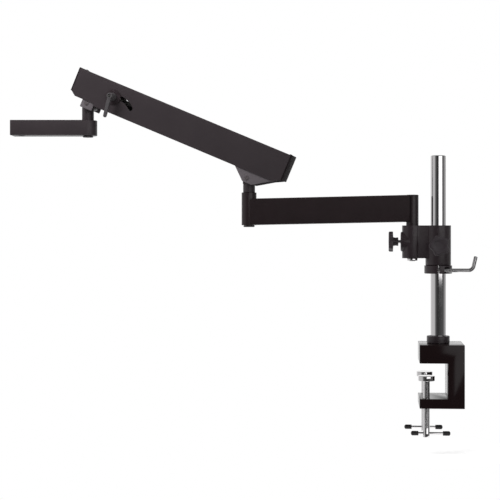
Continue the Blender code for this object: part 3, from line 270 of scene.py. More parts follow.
def combined(name, shape, joined=(), cut=()):
    """One object from a shape, the shapes joined to it and then those cut from it."""
    made = None
    steps = [(None, shape)] + [("UNION", s) for s in joined] + [("DIFFERENCE", s) for s in cut]
    for operation, tool in steps:
        bmesh.ops.recalc_face_normals(tool, faces=tool.faces)
        mesh = bpy.data.meshes.new(name)
        tool.to_mesh(mesh)
        tool.free()
        other = bpy.data.objects.new(name, mesh)
        bpy.context.scene.collection.objects.link(other)
        if made is None:
            made = other
            continue
        modifier = made.modifiers.new("tool", "BOOLEAN")
        modifier.operation = operation
        modifier.object = other
        modifier.solver = "EXACT"
        result = bpy.data.meshes.new_from_object(made.evaluated_get(bpy.context.evaluated_depsgraph_get()))
        made.modifiers.clear()
        made.data = result
        bpy.data.objects.remove(other, do_unlink=True)
    return made


def piece(name, shape, finish, body, stands_for=(), joined=(), cut=(), at=None):
    """One finished piece, set in place and riding on its body, in its finish's material."""
    made = combined(name, shape, joined, cut)
    if at is not None:
        made.data.transform(at)
    material, usual_slot = finish
    made.data.materials.clear()
    made.data.materials.append(material)
    made.data.shade_smooth()
    made.data.set_sharp_from_angle(angle=radians(35))
    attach(made, body)
    if stands_for:
        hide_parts(*stands_for)
    return made


# Baked enamel: almost pure black from the front, a mirror where it is seen along its surface
enamel = new_finish("stoved_gloss_black_enamel", "gloss_black_enamel", "1b1213", 0.13, 2.2 * MM, 0.004 * MM,
                    edge=0.8 * MM, gloss=(30 * MM, 0.10, 0.17), shape=(1.0,), IOR=1.28)
low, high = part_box("clamp_body")
throat = high.x - SPINE
c_outline = [
    (low.x, low.z), (high.x, low.z), (high.x, high.z), (low.x, high.z), (low.x, JAW_UNDERSIDE),
    (throat, JAW_UNDERSIDE), (throat, -JAW_OPENING), (low.x, -JAW_OPENING),
]
c_block = rounded(prism(c_outline, low.y, high.y), 0.8 * MM)
socket = turned([
    (0, high.z - SOCKET_DEPTH), (PILLAR_RADIUS + CLEARANCE, high.z - SOCKET_DEPTH),
    (PILLAR_RADIUS + CLEARANCE, high.z - HOLE_CHAMFER),
    (PILLAR_RADIUS + CLEARANCE + 2 * HOLE_CHAMFER, high.z + HOLE_CHAMFER),
    (0, high.z + HOLE_CHAMFER),
])
screw_at = {side: pivot("screw_turn_" + side) for side in ("near", "far")}
holes = []
for place in screw_at.values():
    hole = flared(SCREW_RADIUS + CLEARANCE, low.z, -JAW_OPENING, 1 * MM + HOLE_CHAMFER, HOLE_CHAMFER)
    holes.append(placed(hole, shift(place.x, place.y)))
piece("clamp_block", c_block, enamel, "base", ["clamp_body"], cut=[socket] + holes)


# Clamp screws and pads
# Two ground and chromed screws with flat-crested threads. Each pushes a chromed steel pad that
# swivels on its spigot, so that the pad doesn't rub round under the table.
THREAD_PITCH = 2.0 * MM
THREAD_DEPTH = 0.3 * MM
THREAD_GROOVE = 0.25
PLAIN_END = 19 * MM
PAD_EDGE = 0.9 * MM
PAD_BORE = 4.5 * MM
PAD_BORE_DEPTH = 6 * MM
SPIGOT_RADIUS = 4.2 * MM
THREAD_RUNOUT = 3 * MM
CROSS_HOLE = 2.8 * MM


def threaded(radius, low, high, pitch, depth, groove, segments=32):
    """A screw thread with flat crests: one cut that climbs a pitch in each turn."""
    shape = bmesh.new()
    steps = int(round((high - low) / pitch * segments))
    profile = [(radius, 0.0), (radius, 1 - groove), (radius - depth, 1 - groove * 0.6),
               (radius - depth, 1 - groove * 0.4)]
    columns = []
    for i in range(steps + 1):
        angle = tau * i / segments
        height = low + pitch * i / segments
        points = [(r * cos(angle), r * sin(angle), height + share * pitch) for r, share in profile]
        columns.append([shape.verts.new(p) for p in points])
    for here, there in zip(columns, columns[1:]):
        for k in range(3):
            shape.faces.new((here[k], there[k], there[k + 1], here[k + 1]))
    for i in range(steps - segments):
        shape.faces.new((columns[i][3], columns[i + 1][3], columns[i + segments + 1][0],
                         columns[i + segments][0]))
    return shape


# Polished hard chrome: a mirror that shows the studio as upright bands, with a trace of grinding
chrome = new_finish("polished_hard_chrome", "hard_chrome", "e4e2e3", 0.07, 0.6 * MM, 0.0006 * MM,
                    edge=0.25 * MM, gloss=(25 * MM, 0.05, 0.10), shape=(2.0, (40, 40, 1)), Metallic=1.0)
for side, place in screw_at.items():
    pad_low, pad_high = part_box("clamp_pad_" + side)
    thickness = pad_high.z - pad_low.z
    pad = turned(
        [(0, PAD_BORE_DEPTH), (PAD_BORE, PAD_BORE_DEPTH), (PAD_BORE, 0)]
        + flank((pad_high.x - pad_low.x) / 2, 0, thickness, PAD_EDGE) + [(0, thickness)]
    )
    at = shift(place.x, place.y, pad_low.z)
    piece("swivel_pad_" + side, pad, chrome, "pad_" + side, ["clamp_pad_" + side], at=at)
    length = pad_low.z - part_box("clamp_screw_" + side)[0].z
    root = SCREW_RADIUS - THREAD_DEPTH
    core = turned(
        [(0, -length)] + round_edge(SCREW_RADIUS, -length, 1 * MM, False)
        + [(SCREW_RADIUS, -length + PLAIN_END), (root, -length + PLAIN_END + 0.5 * MM),
           (root, -THREAD_RUNOUT - 0.5 * MM), (SCREW_RADIUS, -THREAD_RUNOUT)]
        + round_edge(SCREW_RADIUS, -CLEARANCE, 0.8 * MM, True)
        + [(SPIGOT_RADIUS, -CLEARANCE), (SPIGOT_RADIUS, PAD_BORE_DEPTH - CLEARANCE),
           (0, PAD_BORE_DEPTH - CLEARANCE)], 64
    )
    bar_low, bar_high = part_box("sliding_bar_" + side)
    bar_z = (bar_low.z + bar_high.z) / 2
    cross = placed(bar(CROSS_HOLE, -20 * MM, 20 * MM, 0.1 * MM, 32), along(X, (0, 0, bar_z - pad_low.z)))
    piece("screw_shank_" + side, core, chrome, "screw_" + side, ["clamp_screw_" + side], cut=[cross], at=at)
    crests = threaded(SCREW_RADIUS, -length + PLAIN_END, -THREAD_RUNOUT - THREAD_PITCH, THREAD_PITCH,
                      THREAD_DEPTH, THREAD_GROOVE)
    piece("screw_thread_" + side, crests, chrome, "screw_" + side, at=at)


# Sliding bars and their caps
# A plain steel bar slides through each screw's cross hole to turn it. Moulded rubber caps are
# pushed over both ends, so that the bar can't fall out and doesn't mark the hand.
CAP_EDGE = 0.5 * MM
CAP_DOME = 3.4 * MM

# Black rubber: matt, a little grey with bloom, with the fine tooth of its mould
rubber = new_finish("moulded_black_rubber", "black_rubber", "171516", 0.72, 0.5 * MM, 0.02 * MM,
                    clouds=(6 * MM, "131112", "1e1b1c"), IOR=1.5)
for side in screw_at:
    low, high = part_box("sliding_bar_" + side)
    radius = (high.z - low.z) / 2
    middle = (low + high) / 2
    half = (high.x - low.x) / 2
    body = "bar_" + side
    piece("tommy_bar_" + side, bar(radius, -half, half, 0.4 * MM, 48), chrome, body, ["sliding_bar_" + side],
          at=along(X, middle))
    for end, direction in (("inner", X), ("outer", -X)):
        node = "bar_cap_{}_{}".format(end, side)
        cap_low, cap_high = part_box(node)
        outer = (cap_high.z - cap_low.z) / 2
        length = cap_high.x - cap_low.x
        start = cap_low.x if direction.x > 0 else cap_high.x
        dome = arc((0, length - CAP_DOME), outer, 0, 80, 8, CAP_DOME)
        cap = turned(
            [(0, length - 2.5 * MM), (radius + CLEARANCE, length - 2.5 * MM), (radius + CLEARANCE, 0)]
            + round_edge(outer, 0, CAP_EDGE, False)
            + [(outer, 2.2 * MM), (outer - 0.25 * MM, 2.6 * MM), (outer - 0.25 * MM, 3.2 * MM),
               (outer, 3.6 * MM)]
            + dome + [(0, length)], 64
        )
        piece("rubber_cap_{}_{}".format(end, side), cap, rubber, body, [node],
              at=along(direction, (start, middle.y, middle.z)))


# Pillar and foot collar
# A ground, hard-chromed steel pillar stands in the clamp's socket. A black collar hides the
# joint, and a socket set screw in its back keeps the pillar from turning.
def set_screw(radius, low, high, across=3 * MM, depth=3 * MM):
    """A socket set screw: a plain threaded plug with a hexagon in its outer end, and its cutter."""
    plug = turned([(0, low), (radius - 1 * MM, low), (radius, low + 1 * MM), (radius, high - 0.4 * MM),
                   (radius - 0.4 * MM, high), (0, high)], 48)
    return plug, rod(across / 2 / cos(pi / 6), high - depth, high + 1 * MM, 6)


# Satin black paint over a turned casting: soft wide highlights and a slight mottle
satin = new_finish("satin_black_paint_on_casting", "satin_black_cast", "281f23", 0.38, 0.9 * MM, 0.008 * MM,
                   clouds=(14 * MM, "241c1f", "2d2328"), gloss=(5 * MM, 0.34, 0.43), shape=(3.0,), IOR=1.5)
# Bright zinc on steel: pale grey with soft clouds, between satin and mirror
zinc = new_finish("bright_zinc_plate", "zinc_plated_steel", "a9a8a5", 0.3, 0.4 * MM, 0.003 * MM,
                  edge=0.25 * MM, clouds=(4 * MM, "9c9b98", "b4b3b0"), Metallic=1.0)
# Blackened steel: a thin layer of dark, strongly refracting oxide with an oily satin sheen
blackened = new_finish("black_oxide_on_steel", "zinc_plated_steel", "4a4144", 0.45, 0.4 * MM, 0.003 * MM,
                       edge=0.25 * MM, clouds=(3 * MM, "443c3f", "50474a"), IOR=2.2)
low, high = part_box("pillar")
post = bar(PILLAR_RADIUS, low.z, high.z, 1.5 * MM, 128)
centre_drill = turned([(0, high.z - 2.5 * MM), (2.2 * MM, high.z + 0.1 * MM), (0, high.z + 0.1 * MM)], 32)
piece("chromed_pillar", post, chrome, "base", ["pillar"], cut=[centre_drill])
low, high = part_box("foot_collar")
foot_radius = (high.x - low.x) / 2
foot_height = (low.z + high.z) / 2
screw_hole = crosswise(bar(3.3 * MM, 14 * MM, 30 * MM, 0.1 * MM, 48), 0, foot_height)
foot = tube(PILLAR_RADIUS + CLEARANCE, foot_radius, low.z, high.z, 1.2 * MM)
piece("pillar_foot_collar", foot, satin, "base", ["foot_collar"], cut=[screw_hole])
low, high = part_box("foot_set_screw")
plug, hexagon = set_screw(3 * MM, low.y, high.y)
piece("foot_grub_screw", plug, zinc, "base", ["foot_set_screw"], cut=[hexagon],
      at=along(Y, (0, 0, foot_height)))


# Safety collar and its handle
# A split ring carries the coupling's weight. The cranked chrome handle is a screw through its
# ears, and it draws the split together so that the ring grips the pillar.
SPLIT = 4.6 * MM
POCKET_RADIUS = 6.75 * MM
POCKET_START = 11.5 * MM
HANDLE_RADIUS = 4 * MM
HANDLE_BEND = 11 * MM
HANDLE_LEAN = radians(13)
HANDLE_ENGAGEMENT = 9.5 * MM
HANDLE_REACH = 70.35 * MM
HANDLE_RISE = 27.5 * MM
HANDLE_DOME = 0.3

low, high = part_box("safety_collar")
ring_radius = (high.x - low.x) / 2
handle_at = pivot("collar_handle_turn")
split = block((-SPLIT / 2, low.y - 5 * MM, low.z - 5 * MM), (SPLIT / 2, 0, high.z + 5 * MM))
pocket = placed(bar(POCKET_RADIUS, POCKET_START, ring_radius + 8 * MM, 0.3 * MM, 64), along(X, handle_at))
eye = placed(bar(HANDLE_RADIUS + CLEARANCE, -HANDLE_ENGAGEMENT, POCKET_START + 5 * MM, 0.3 * MM, 48),
             along(X, handle_at))
ring = tube(PILLAR_RADIUS + CLEARANCE, ring_radius, low.z, high.z, 1.1 * MM, 128)
piece("split_collar", ring, satin, "collar", ["safety_collar"], cut=[split, pocket, eye])


def heading(path, i):
    return (path[min(i + 1, len(path) - 1)] - path[max(i - 1, 0)]).normalized()


def swept(path, radius, sides, normal, end=1.0):
    """A round bar along a path in the plane with this normal, its ends domed by end times the radius."""
    shape = bmesh.new()
    rings = []
    for i, point in enumerate(path):
        tangent = heading(path, i)
        side = tangent.cross(normal).normalized()
        up = side.cross(tangent)
        rings.append([[point, radius * (cos(t) * side + sin(t) * up)] for t in full_turn(sides)])
    domes = []
    for base, outward in ((rings[0], path[0] - path[1]), (rings[-1], path[-1] - path[-2])):
        domes.append([])
        for angle in (radians(30), radians(55), radians(75)):
            rise = outward.normalized() * radius * end * sin(angle)
            domes[-1].append([[point + rise, offset * cos(angle)] for point, offset in base])
    layers = [[shape.verts.new(p + o) for p, o in ring] for ring in domes[0][::-1] + rings + domes[1]]
    bridge(shape, layers)
    shape.faces.new(layers[0])
    shape.faces.new(layers[-1])
    return shape


reach = HANDLE_REACH - HANDLE_BEND
inner = -HANDLE_ENGAGEMENT + CLEARANCE + HANDLE_DOME * HANDLE_RADIUS
path = [Vector((inner, 0, 0)), Vector((0, 0, 0)), Vector((reach, 0, 0))]
crank = pi / 2 - HANDLE_LEAN
for i in range(1, 13):
    angle = crank * i / 12
    path.append(Vector((reach + HANDLE_BEND * sin(angle), 0, HANDLE_BEND * (1 - cos(angle)))))
up = Vector((sin(HANDLE_LEAN), 0, cos(HANDLE_LEAN)))
path.append(path[-1] + up * (HANDLE_RISE - path[-1].z) / up.z)
piece("cranked_handle", swept(path, HANDLE_RADIUS, 48, Y, HANDLE_DOME), chrome, "handle", ["collar_handle"],
      at=shift(*handle_at))


# Coupling
# One casting bored for the pillar and for the arm's post, with a web between the two barrels
# and a boss for each knob. It is painted satin black and turns on the safety collar.
PILLAR_BARREL = 26 * MM
POST_BARREL = 21 * MM
POST_RADIUS = 12.7 * MM
WEB_HALF = 17.25 * MM
WEB_FILLET = 5 * MM
CAST_EDGE = 1.4 * MM
BOSS_HEIGHT = 3 * MM
BOSS_RADIUS = 14 * MM
BOSS_EDGE = 2.6 * MM
STUD_RADIUS = 3.5 * MM
LOBE_RISE = 5.9 * MM

low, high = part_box("coupling_block")
post_x = joint["lower_arm_swing"]["pos_m"][0]
lobe_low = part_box("arm_post")[0].z + LOBE_RISE


def blend_point(centre_x, radius, towards):
    """The centre of a fillet between a barrel and the web, and the angle where it meets the barrel."""
    rise = WEB_HALF + WEB_FILLET
    run = sqrt((radius + WEB_FILLET) ** 2 - rise ** 2)
    return centre_x + towards * run, degrees(atan2(rise, run))


fillet_right, angle_right = blend_point(0, PILLAR_BARREL, -1)
fillet_left, angle_left = blend_point(post_x, POST_BARREL, 1)
side_y = WEB_HALF + WEB_FILLET
plan = arc((0, 0), PILLAR_BARREL - 0.05 * MM, -(180 - angle_right), 180 - angle_right, 48)
plan += arc((fillet_right, side_y), WEB_FILLET, -angle_right, -90, 6)
plan += arc((fillet_left, side_y), WEB_FILLET, -90, -(180 - angle_left), 6)
plan += arc((post_x, 0), POST_BARREL, angle_left, 360 - angle_left, 48)
plan += arc((fillet_left, -side_y), WEB_FILLET, 180 - angle_left, 90, 6)
plan += arc((fillet_right, -side_y), WEB_FILLET, 90, angle_right, 6)
casting = prism(plan, lobe_low, high.z, "Z")
rounded(casting, CAST_EDGE, 4, lambda direction, middle: abs(direction.z) < 0.5)
barrel = bar(PILLAR_BARREL, low.z, high.z, CAST_EDGE, 96)
pillar_knob_z = joint["pillar_knob_turn"]["pos_m"][2]
post_knob_z = joint["post_knob_turn"]["pos_m"][2]
bosses = [
    placed(bar(BOSS_RADIUS, 17 * MM, PILLAR_BARREL + BOSS_HEIGHT, BOSS_EDGE, 96),
           along(-Y, (0, 0, pillar_knob_z))),
    placed(bar(POST_BARREL - 0.8 * MM, 4 * MM, POST_BARREL + BOSS_HEIGHT, BOSS_EDGE, 96),
           along(-X, (post_x, 0, post_knob_z))),
]
bores = []
for radius, x, bottom in ((PILLAR_RADIUS, 0, low.z), (POST_RADIUS, post_x, lobe_low)):
    bores.append(placed(flared(radius + CLEARANCE, bottom, high.z, 2 * MM, 0.5 * MM), shift(x)))
for axis, x, height, bore in ((-Y, 0, pillar_knob_z, PILLAR_RADIUS), (-X, post_x, post_knob_z, POST_RADIUS)):
    bores.append(placed(drill(STUD_RADIUS, bore - 1 * MM, 40 * MM), along(axis, (x, 0, height))))
piece("coupling_casting", casting, satin, "coupling", ["coupling_block"], joined=[barrel] + bosses, cut=bores)


# Star knobs
# Glass-filled nylon moulded in one shot round a chromed stud. Five soft lobes, a dished face and
# a waisted hub; turning one presses its stud on the pillar or the post.
KNOB_RADIUS = 21.7 * MM
KNOB_LOBES = 5
KNOB_LOBE_DEPTH = 4.5 * MM
KNOB_THICKNESS = 9 * MM
HUB_RADIUS = 8.75 * MM
HUB_LENGTH = 10.7 * MM
KNOB_STANDOFF = 4.8 * MM
STUD_ENGAGEMENT = 13 * MM
STUD_PITCH = 1.25 * MM
STUD_THREAD_DEPTH = 0.35 * MM
STUD_GROOVE = 0.45


def star(angle):
    """The knob's radius at an angle: lobes with softer hollows between them."""
    wave = 0.5 - 0.5 * cos(KNOB_LOBES * angle)
    return KNOB_RADIUS - KNOB_LOBE_DEPTH * wave ** 0.8


def star_knob(start):
    """The moulding, from the hub's end at start: each layer is (share of the star, radius, height)."""
    head = start + HUB_LENGTH
    top = head + KNOB_THICKNESS
    bore = STUD_RADIUS + CLEARANCE
    layers = [
        (0, bore, start + STUD_ENGAGEMENT), (0, bore, start), (0, HUB_RADIUS - 0.6 * MM, start),
        (0, HUB_RADIUS - 0.15 * MM, start + 0.15 * MM), (0, HUB_RADIUS, start + 0.7 * MM),
        (0, HUB_RADIUS - 0.5 * MM, start + 0.5 * HUB_LENGTH), (0, HUB_RADIUS, head - 1.6 * MM),
        (0, HUB_RADIUS + 1.2 * MM, head), (0.965, 0, head), (0.99, 0, head + 0.5 * MM),
        (1.0, 0, head + 1.6 * MM), (1.0, 0, top - 3.2 * MM), (0.99, 0, top - 1.9 * MM),
        (0.965, 0, top - 0.9 * MM), (0.92, 0, top - 0.25 * MM), (0.86, 0, top),
        (0, 11.5 * MM, top - 0.1 * MM), (0, 10 * MM, top - 0.7 * MM), (0, 5 * MM, top - 1.0 * MM),
    ]
    shape = bmesh.new()
    count = 24 * KNOB_LOBES
    rings = [[shape.verts.new((0, 0, start + STUD_ENGAGEMENT))]]
    for share, radius, height in layers:
        rings.append([])
        for angle in full_turn(count):
            r = share * star(angle) if share else radius
            rings[-1].append(shape.verts.new((r * cos(angle), r * sin(angle), height)))
    rings.append([shape.verts.new((0, 0, top - 1.0 * MM))])
    bridge(shape, rings)
    return shape


# Nylon with glass in it: a dull, faintly speckled black from an eroded mould
nylon = new_finish("moulded_glass_filled_nylon", "black_moulded_nylon", "30292d", 0.5, 0.55 * MM, 0.02 * MM,
                   clouds=(3 * MM, "2b2529", "362e33"), IOR=1.53)
for name, axis, x, barrel_radius, bore, roll in (
    ("pillar_knob", -Y, 0, PILLAR_BARREL, PILLAR_RADIUS, radians(180)),
    ("post_knob", -X, post_x, POST_BARREL, POST_RADIUS, radians(90)),
):
    height = joint[name + "_turn"]["pos_m"][2]
    start = barrel_radius + BOSS_HEIGHT + KNOB_STANDOFF
    at = along(axis, (x, 0, height)) @ Matrix.Rotation(roll, 4, "Z")
    piece(name + "_moulding", star_knob(start), nylon, name, [name], at=at)
    inner, outer = bore + CLEARANCE, start + STUD_ENGAGEMENT - CLEARANCE
    core = bar(STUD_RADIUS - STUD_THREAD_DEPTH, inner, outer, 0.8 * MM, 48)
    piece(name + "_stud_core", core, chrome, name, [name + "_stud"], at=at)
    ridge = threaded(STUD_RADIUS, inner + 1 * MM, outer - 3 * MM, STUD_PITCH, STUD_THREAD_DEPTH, STUD_GROOVE)
    piece(name + "_stud_thread", ridge, chrome, name, at=at)


# Lower arm
# A steel tube of rectangular section, coped and welded to a post at one end and to a sleeve at
# the other, ground flush and powder coated in one piece with them. A chromed nut holds the post.
SLEEVE_RADIUS = 15.6 * MM
BEAM_HEIGHT = 55 * MM
BEAM_WALL = 2.5 * MM
BEAM_MIDDLE = 312.7 * MM
BEAM_DROP = 6.2 * MM
BEAM_START = 5.2 * MM
BEAM_CORNER = 3.2 * MM
BUSH_WALL = 1.5 * MM
JOURNAL_RADIUS = 10 * MM
NUT_RADIUS = 11 * MM
POST_STUD = 6 * MM

# Black polyester powder baked on steel: even, satin, with a fine pebble that breaks the highlight
powder = new_finish("baked_black_powder_coat", "powder_coated_steel", "241b1d", 0.34, 1.1 * MM, 0.010 * MM,
                    edge=0.7 * MM, clouds=(40 * MM, "20191a", "271d20"), gloss=(8 * MM, 0.30, 0.38),
                    shape=(3.0,), IOR=1.42)
# Sintered bronze: dull gold-brown, slightly dark with oil
bronze = new_finish("sintered_bronze", "sintered_bronze", "86663f", 0.42, 0.4 * MM, 0.01 * MM,
                    clouds=(1.5 * MM, "6f5434", "94724a"), Metallic=1.0)
elbow_at = pivot("elbow_swing")
post_at = Vector((post_x, 0, 0))
reach = Vector((elbow_at.x - post_at.x, elbow_at.y, 0))
arm_length = reach.length
swing = Matrix.Rotation(atan2(reach.y, reach.x), 4, "Z")
arm_frame = shift(*post_at) @ swing

low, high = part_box("arm_post")
shoulder = lobe_low + 4 * MM
post_shape = turned(
    [(0, low.z)] + round_edge(POST_STUD, low.z, 0.5 * MM, False) + [(POST_STUD, shoulder)]
    + flank(POST_RADIUS, shoulder, high.z, 0.5 * MM, 0.9 * MM) + [(0, high.z)]
)
piece("arm_pivot_post", post_shape, powder, "lower_arm", ["arm_post"], at=arm_frame)
low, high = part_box("post_nut")
notches = []
for turn in range(2):
    notch = block((NUT_RADIUS - 2.2 * MM, -1.6 * MM, low.z - 1 * MM), (20 * MM, 1.6 * MM, low.z + 2.2 * MM))
    notches.append(placed(notch, Matrix.Rotation(pi * turn, 4, "Z")))
nut = tube(POST_STUD + CLEARANCE, NUT_RADIUS, low.z, high.z, 0.7 * MM, 64)
piece("post_round_nut", nut, chrome, "lower_arm", ["post_nut"], cut=notches, at=arm_frame)


def beam_shape(inset, corner, start, end):
    """The tube's outline at some depth under its surface, sheared by the arm's droop."""
    half_y = POST_RADIUS + CLEARANCE + BEAM_WALL - inset
    half_z = BEAM_HEIGHT / 2 - inset
    outline = [(-half_y, -half_z), (half_y, -half_z), (half_y, half_z), (-half_y, half_z)]
    shape = prism(outline, start, end, "X")
    rounded(shape, corner, 5, lambda direction, middle: abs(direction.x) > 0.9)
    droop = Matrix.Identity(4)
    droop[2][0] = -BEAM_DROP / arm_length
    droop[2][3] = BEAM_MIDDLE
    return placed(shape, droop)


coped = [
    beam_shape(BEAM_WALL, BEAM_CORNER - BEAM_WALL, -50 * MM, arm_length + 50 * MM),
    drill(POST_RADIUS, 0.2, 0.4, 96),
    placed(drill(SLEEVE_RADIUS, 0.2, 0.4, 96), shift(arm_length)),
]
piece("arm_tube", beam_shape(0, BEAM_CORNER, BEAM_START, arm_length), powder, "lower_arm",
      ["lower_arm_beam"], cut=coped, at=arm_frame)
sleeve_low, sleeve_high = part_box("elbow_sleeve")
at_elbow = arm_frame @ shift(arm_length)
bore = JOURNAL_RADIUS + 2 * CLEARANCE + BUSH_WALL
sleeve = tube(bore, SLEEVE_RADIUS, sleeve_low.z, sleeve_high.z, 0.6 * MM)
piece("arm_sleeve", sleeve, powder, "lower_arm", ["elbow_sleeve"], at=at_elbow)
bush = tube(JOURNAL_RADIUS + CLEARANCE, bore - CLEARANCE, sleeve_low.z, sleeve_high.z, 0.1 * MM)
piece("sleeve_bush", bush, bronze, "lower_arm", ["elbow_bush"], at=at_elbow)


# Elbow pivot
# A turned journal and neck with a milled fork on top, all one forging, powder coated above the
# sleeve. A washer and a countersunk screw under the sleeve keep it from lifting out.
NECK_RADIUS = 12.5 * MM
PIN_RISE = 40 * MM
FORK_HALF_WIDTH = 11 * MM
FORK_HALF_DEPTH = 12.5 * MM
FORK_TIP_RADIUS = 7.2 * MM
FORK_BOSS_RADIUS = 7.5 * MM
FORK_FOOT = 11.5 * MM
FORK_SHOULDER = 6 * MM
NECK_TOP = 5.3 * MM
CHEEK_INNER = 25.7 * MM
LINK_HALF = 3.5 * MM
LOWER_PIN_RADIUS = 4 * MM
UPPER_PIN_RADIUS = 3 * MM
KEEPER_SCREW = 3 * MM
KEEPER_HEAD = 5.1 * MM


def fork(pin_z, neck_x, neck_low, journal_radius, journal_low):
    """The fork's head, the shapes joined to it and those cut from it, in the joint's upright frame."""
    outline = [(-FORK_HALF_WIDTH, pin_z - FORK_FOOT), (FORK_HALF_WIDTH, pin_z - FORK_FOOT),
               (FORK_HALF_WIDTH, pin_z + FORK_SHOULDER)]
    outline += arc((0, pin_z + PIN_RISE), FORK_TIP_RADIUS, 0, 180, 24)
    outline += [(-FORK_HALF_WIDTH, pin_z + FORK_SHOULDER)]
    head = rounded(prism(outline, -FORK_HALF_DEPTH, FORK_HALF_DEPTH), 0.7 * MM, 2)
    tap = KEEPER_SCREW + CLEARANCE
    shank = turned(
        [(0, journal_low + 12 * MM), (tap, journal_low + 12 * MM), (tap, journal_low)]
        + round_edge(journal_radius, journal_low, 0.6 * MM, False) + [(journal_radius, neck_low)]
        + flank(NECK_RADIUS, neck_low, pin_z - NECK_TOP, 0.8 * MM, 1.2 * MM) + [(0, pin_z - NECK_TOP)]
    )
    boss = CHEEK_INNER - CLEARANCE
    joined = [placed(shank, shift(neck_x))]
    joined.append(crosswise(bar(FORK_BOSS_RADIUS, -boss, boss, 0.6 * MM, 64), 0, pin_z))
    gap = LINK_HALF + CLEARANCE
    cut = [block((-30 * MM, -gap, pin_z + PIN_RISE - 20 * MM), (30 * MM, gap, pin_z + PIN_RISE + 30 * MM))]
    cut.append(crosswise(drill(LOWER_PIN_RADIUS, -40 * MM, 40 * MM), 0, pin_z))
    cut.append(crosswise(drill(UPPER_PIN_RADIUS, -20 * MM, 20 * MM), 0, pin_z + PIN_RISE))
    return head, joined, cut


# Charcoal powder coat: a shade paler and rougher than the lower arm's
charcoal = new_finish("charcoal_powder_coat", "powder_coated_steel", "332c2f", 0.44, 1.3 * MM, 0.014 * MM,
                      edge=0.8 * MM, clouds=(60 * MM, "302a2d", "383134"), gloss=(9 * MM, 0.40, 0.48),
                      shape=(3.0,), IOR=1.45)


def keeper_pieces(prefix, at):
    """The countersunk washer under a pivot and the socket screw that lies flush in it."""
    low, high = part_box(prefix + "_keeper_washer")
    radius = (high.x - low.x) / 2
    bore = KEEPER_SCREW + CLEARANCE
    sink = KEEPER_HEAD + CLEARANCE * sqrt(2)
    washer = turned(
        [(sink, low.z)] + flank(radius, low.z, high.z, 0.7 * MM, 0.5 * MM)
        + [(bore, high.z), (bore, low.z + sink - bore)], hollow=True
    )
    piece(prefix + "_retaining_washer", washer, satin, prefix, [prefix + "_keeper_washer"], at=at)
    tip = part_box(prefix + "_keeper_screw")[1].z
    screw = turned(
        [(0, low.z), (KEEPER_HEAD - 0.2 * MM, low.z), (KEEPER_HEAD, low.z + 0.1 * MM),
         (KEEPER_SCREW, low.z + KEEPER_HEAD - KEEPER_SCREW)]
        + round_edge(KEEPER_SCREW, tip, 0.5 * MM, True) + [(0, tip)], 64
    )
    hexagon = rod(2 * MM, low.z - 1 * MM, low.z + 2 * MM, 6)
    piece(prefix + "_socket_screw", screw, blackened, prefix, [prefix + "_keeper_screw"], cut=[hexagon],
          at=at)


def fork_pieces(body, pin_at, frame_at, neck_x, neck_low, journal_radius, journal_low):
    """A fork with its upper pin and the keeper under its journal."""
    head, joined, cut = fork(pin_at.z, neck_x, neck_low, journal_radius, journal_low)
    piece(body + "_pivot", head, charcoal, body, [body + "_fork"], joined=joined, cut=cut, at=frame_at)
    reach = FORK_HALF_DEPTH - 0.4 * MM
    piece(body + "_link_pin", bar(UPPER_PIN_RADIUS, -reach, reach, 0.5 * MM, 48), zinc, body,
          [body + "_upper_pin"], at=frame_at @ along(Y, (0, 0, pin_at.z + PIN_RISE)))
    keeper_pieces(body, frame_at @ shift(neck_x))


tilt_at = pivot("spring_arm_tilt")
tilt_axis = Vector(joint["spring_arm_tilt"]["axis"]).normalized()
outward = -tilt_axis.cross(Z)
yaw = Matrix.Rotation(atan2(outward.y, outward.x), 4, "Z")
elbow_frame = shift(tilt_at.x, tilt_at.y) @ yaw
fork_pieces("elbow", tilt_at, elbow_frame, 0, sleeve_high.z + CLEARANCE, JOURNAL_RADIUS, sleeve_low.z)


# Spring arm's housing
# One sheet of 2 mm steel folded over the linkage, open underneath, with its lower edges turned
# in. It is powder coated, and both ends are shut by plates held with a low screw on top.
TILT = radians(22.87)
HOUSING_HALF = 30 * MM
SHEET = 2 * MM
FOLD_RADIUS = 3.5 * MM
HOUSING_BACK = 70.4 * MM
HOUSING_LENGTH = 492 * MM
CROWN = 78.5 * MM
FLOOR = CROWN - 64.4 * MM
END_PLATE = 2.4 * MM
PLATE_PROUD = 0.8 * MM
END_FLANGE = 13 * MM
END_HEIGHT = {"rear": 56 * MM, "front": 51.7 * MM}
REAR_CHAMFER = 19 * MM
FRONT_CHAMFER = 13.3 * MM
NOTCH_HEIGHT = 59.5 * MM
NOTCH_LENGTH = 59 * MM
LIP_WIDTH = 10 * MM
LIP_SETBACK = 12 * MM
CHEEK_OUTER = HOUSING_HALF - SHEET - CLEARANCE
REAR_CHEEK_TOP = (19 * MM, 103 * MM)
REAR_CHEEK_FOOT = (55.5 * MM, 76.5 * MM)
REAR_CHEEK_DEPTH = 23.5 * MM
FRONT_CHEEK_SPAN = (-15.6 * MM, 11.4 * MM)
FRONT_CHEEK_DEPTH = 11.2 * MM
CHEEK_OVERLAP = 20 * MM
CHEEK_CORNER = 2 * MM
BOLT_X = 328.7 * MM
BOLT_Z = 47.8 * MM
SLOT_HALF = 4.75 * MM
SLOT_HIGH = radians(23.47)
SLOT_LOW = radians(-44.6)
COVER_SCREW_INSET = 7 * MM
COVER_SCREW_RADIUS = 1.5 * MM
COVER_HEAD_RADIUS = 3.25 * MM

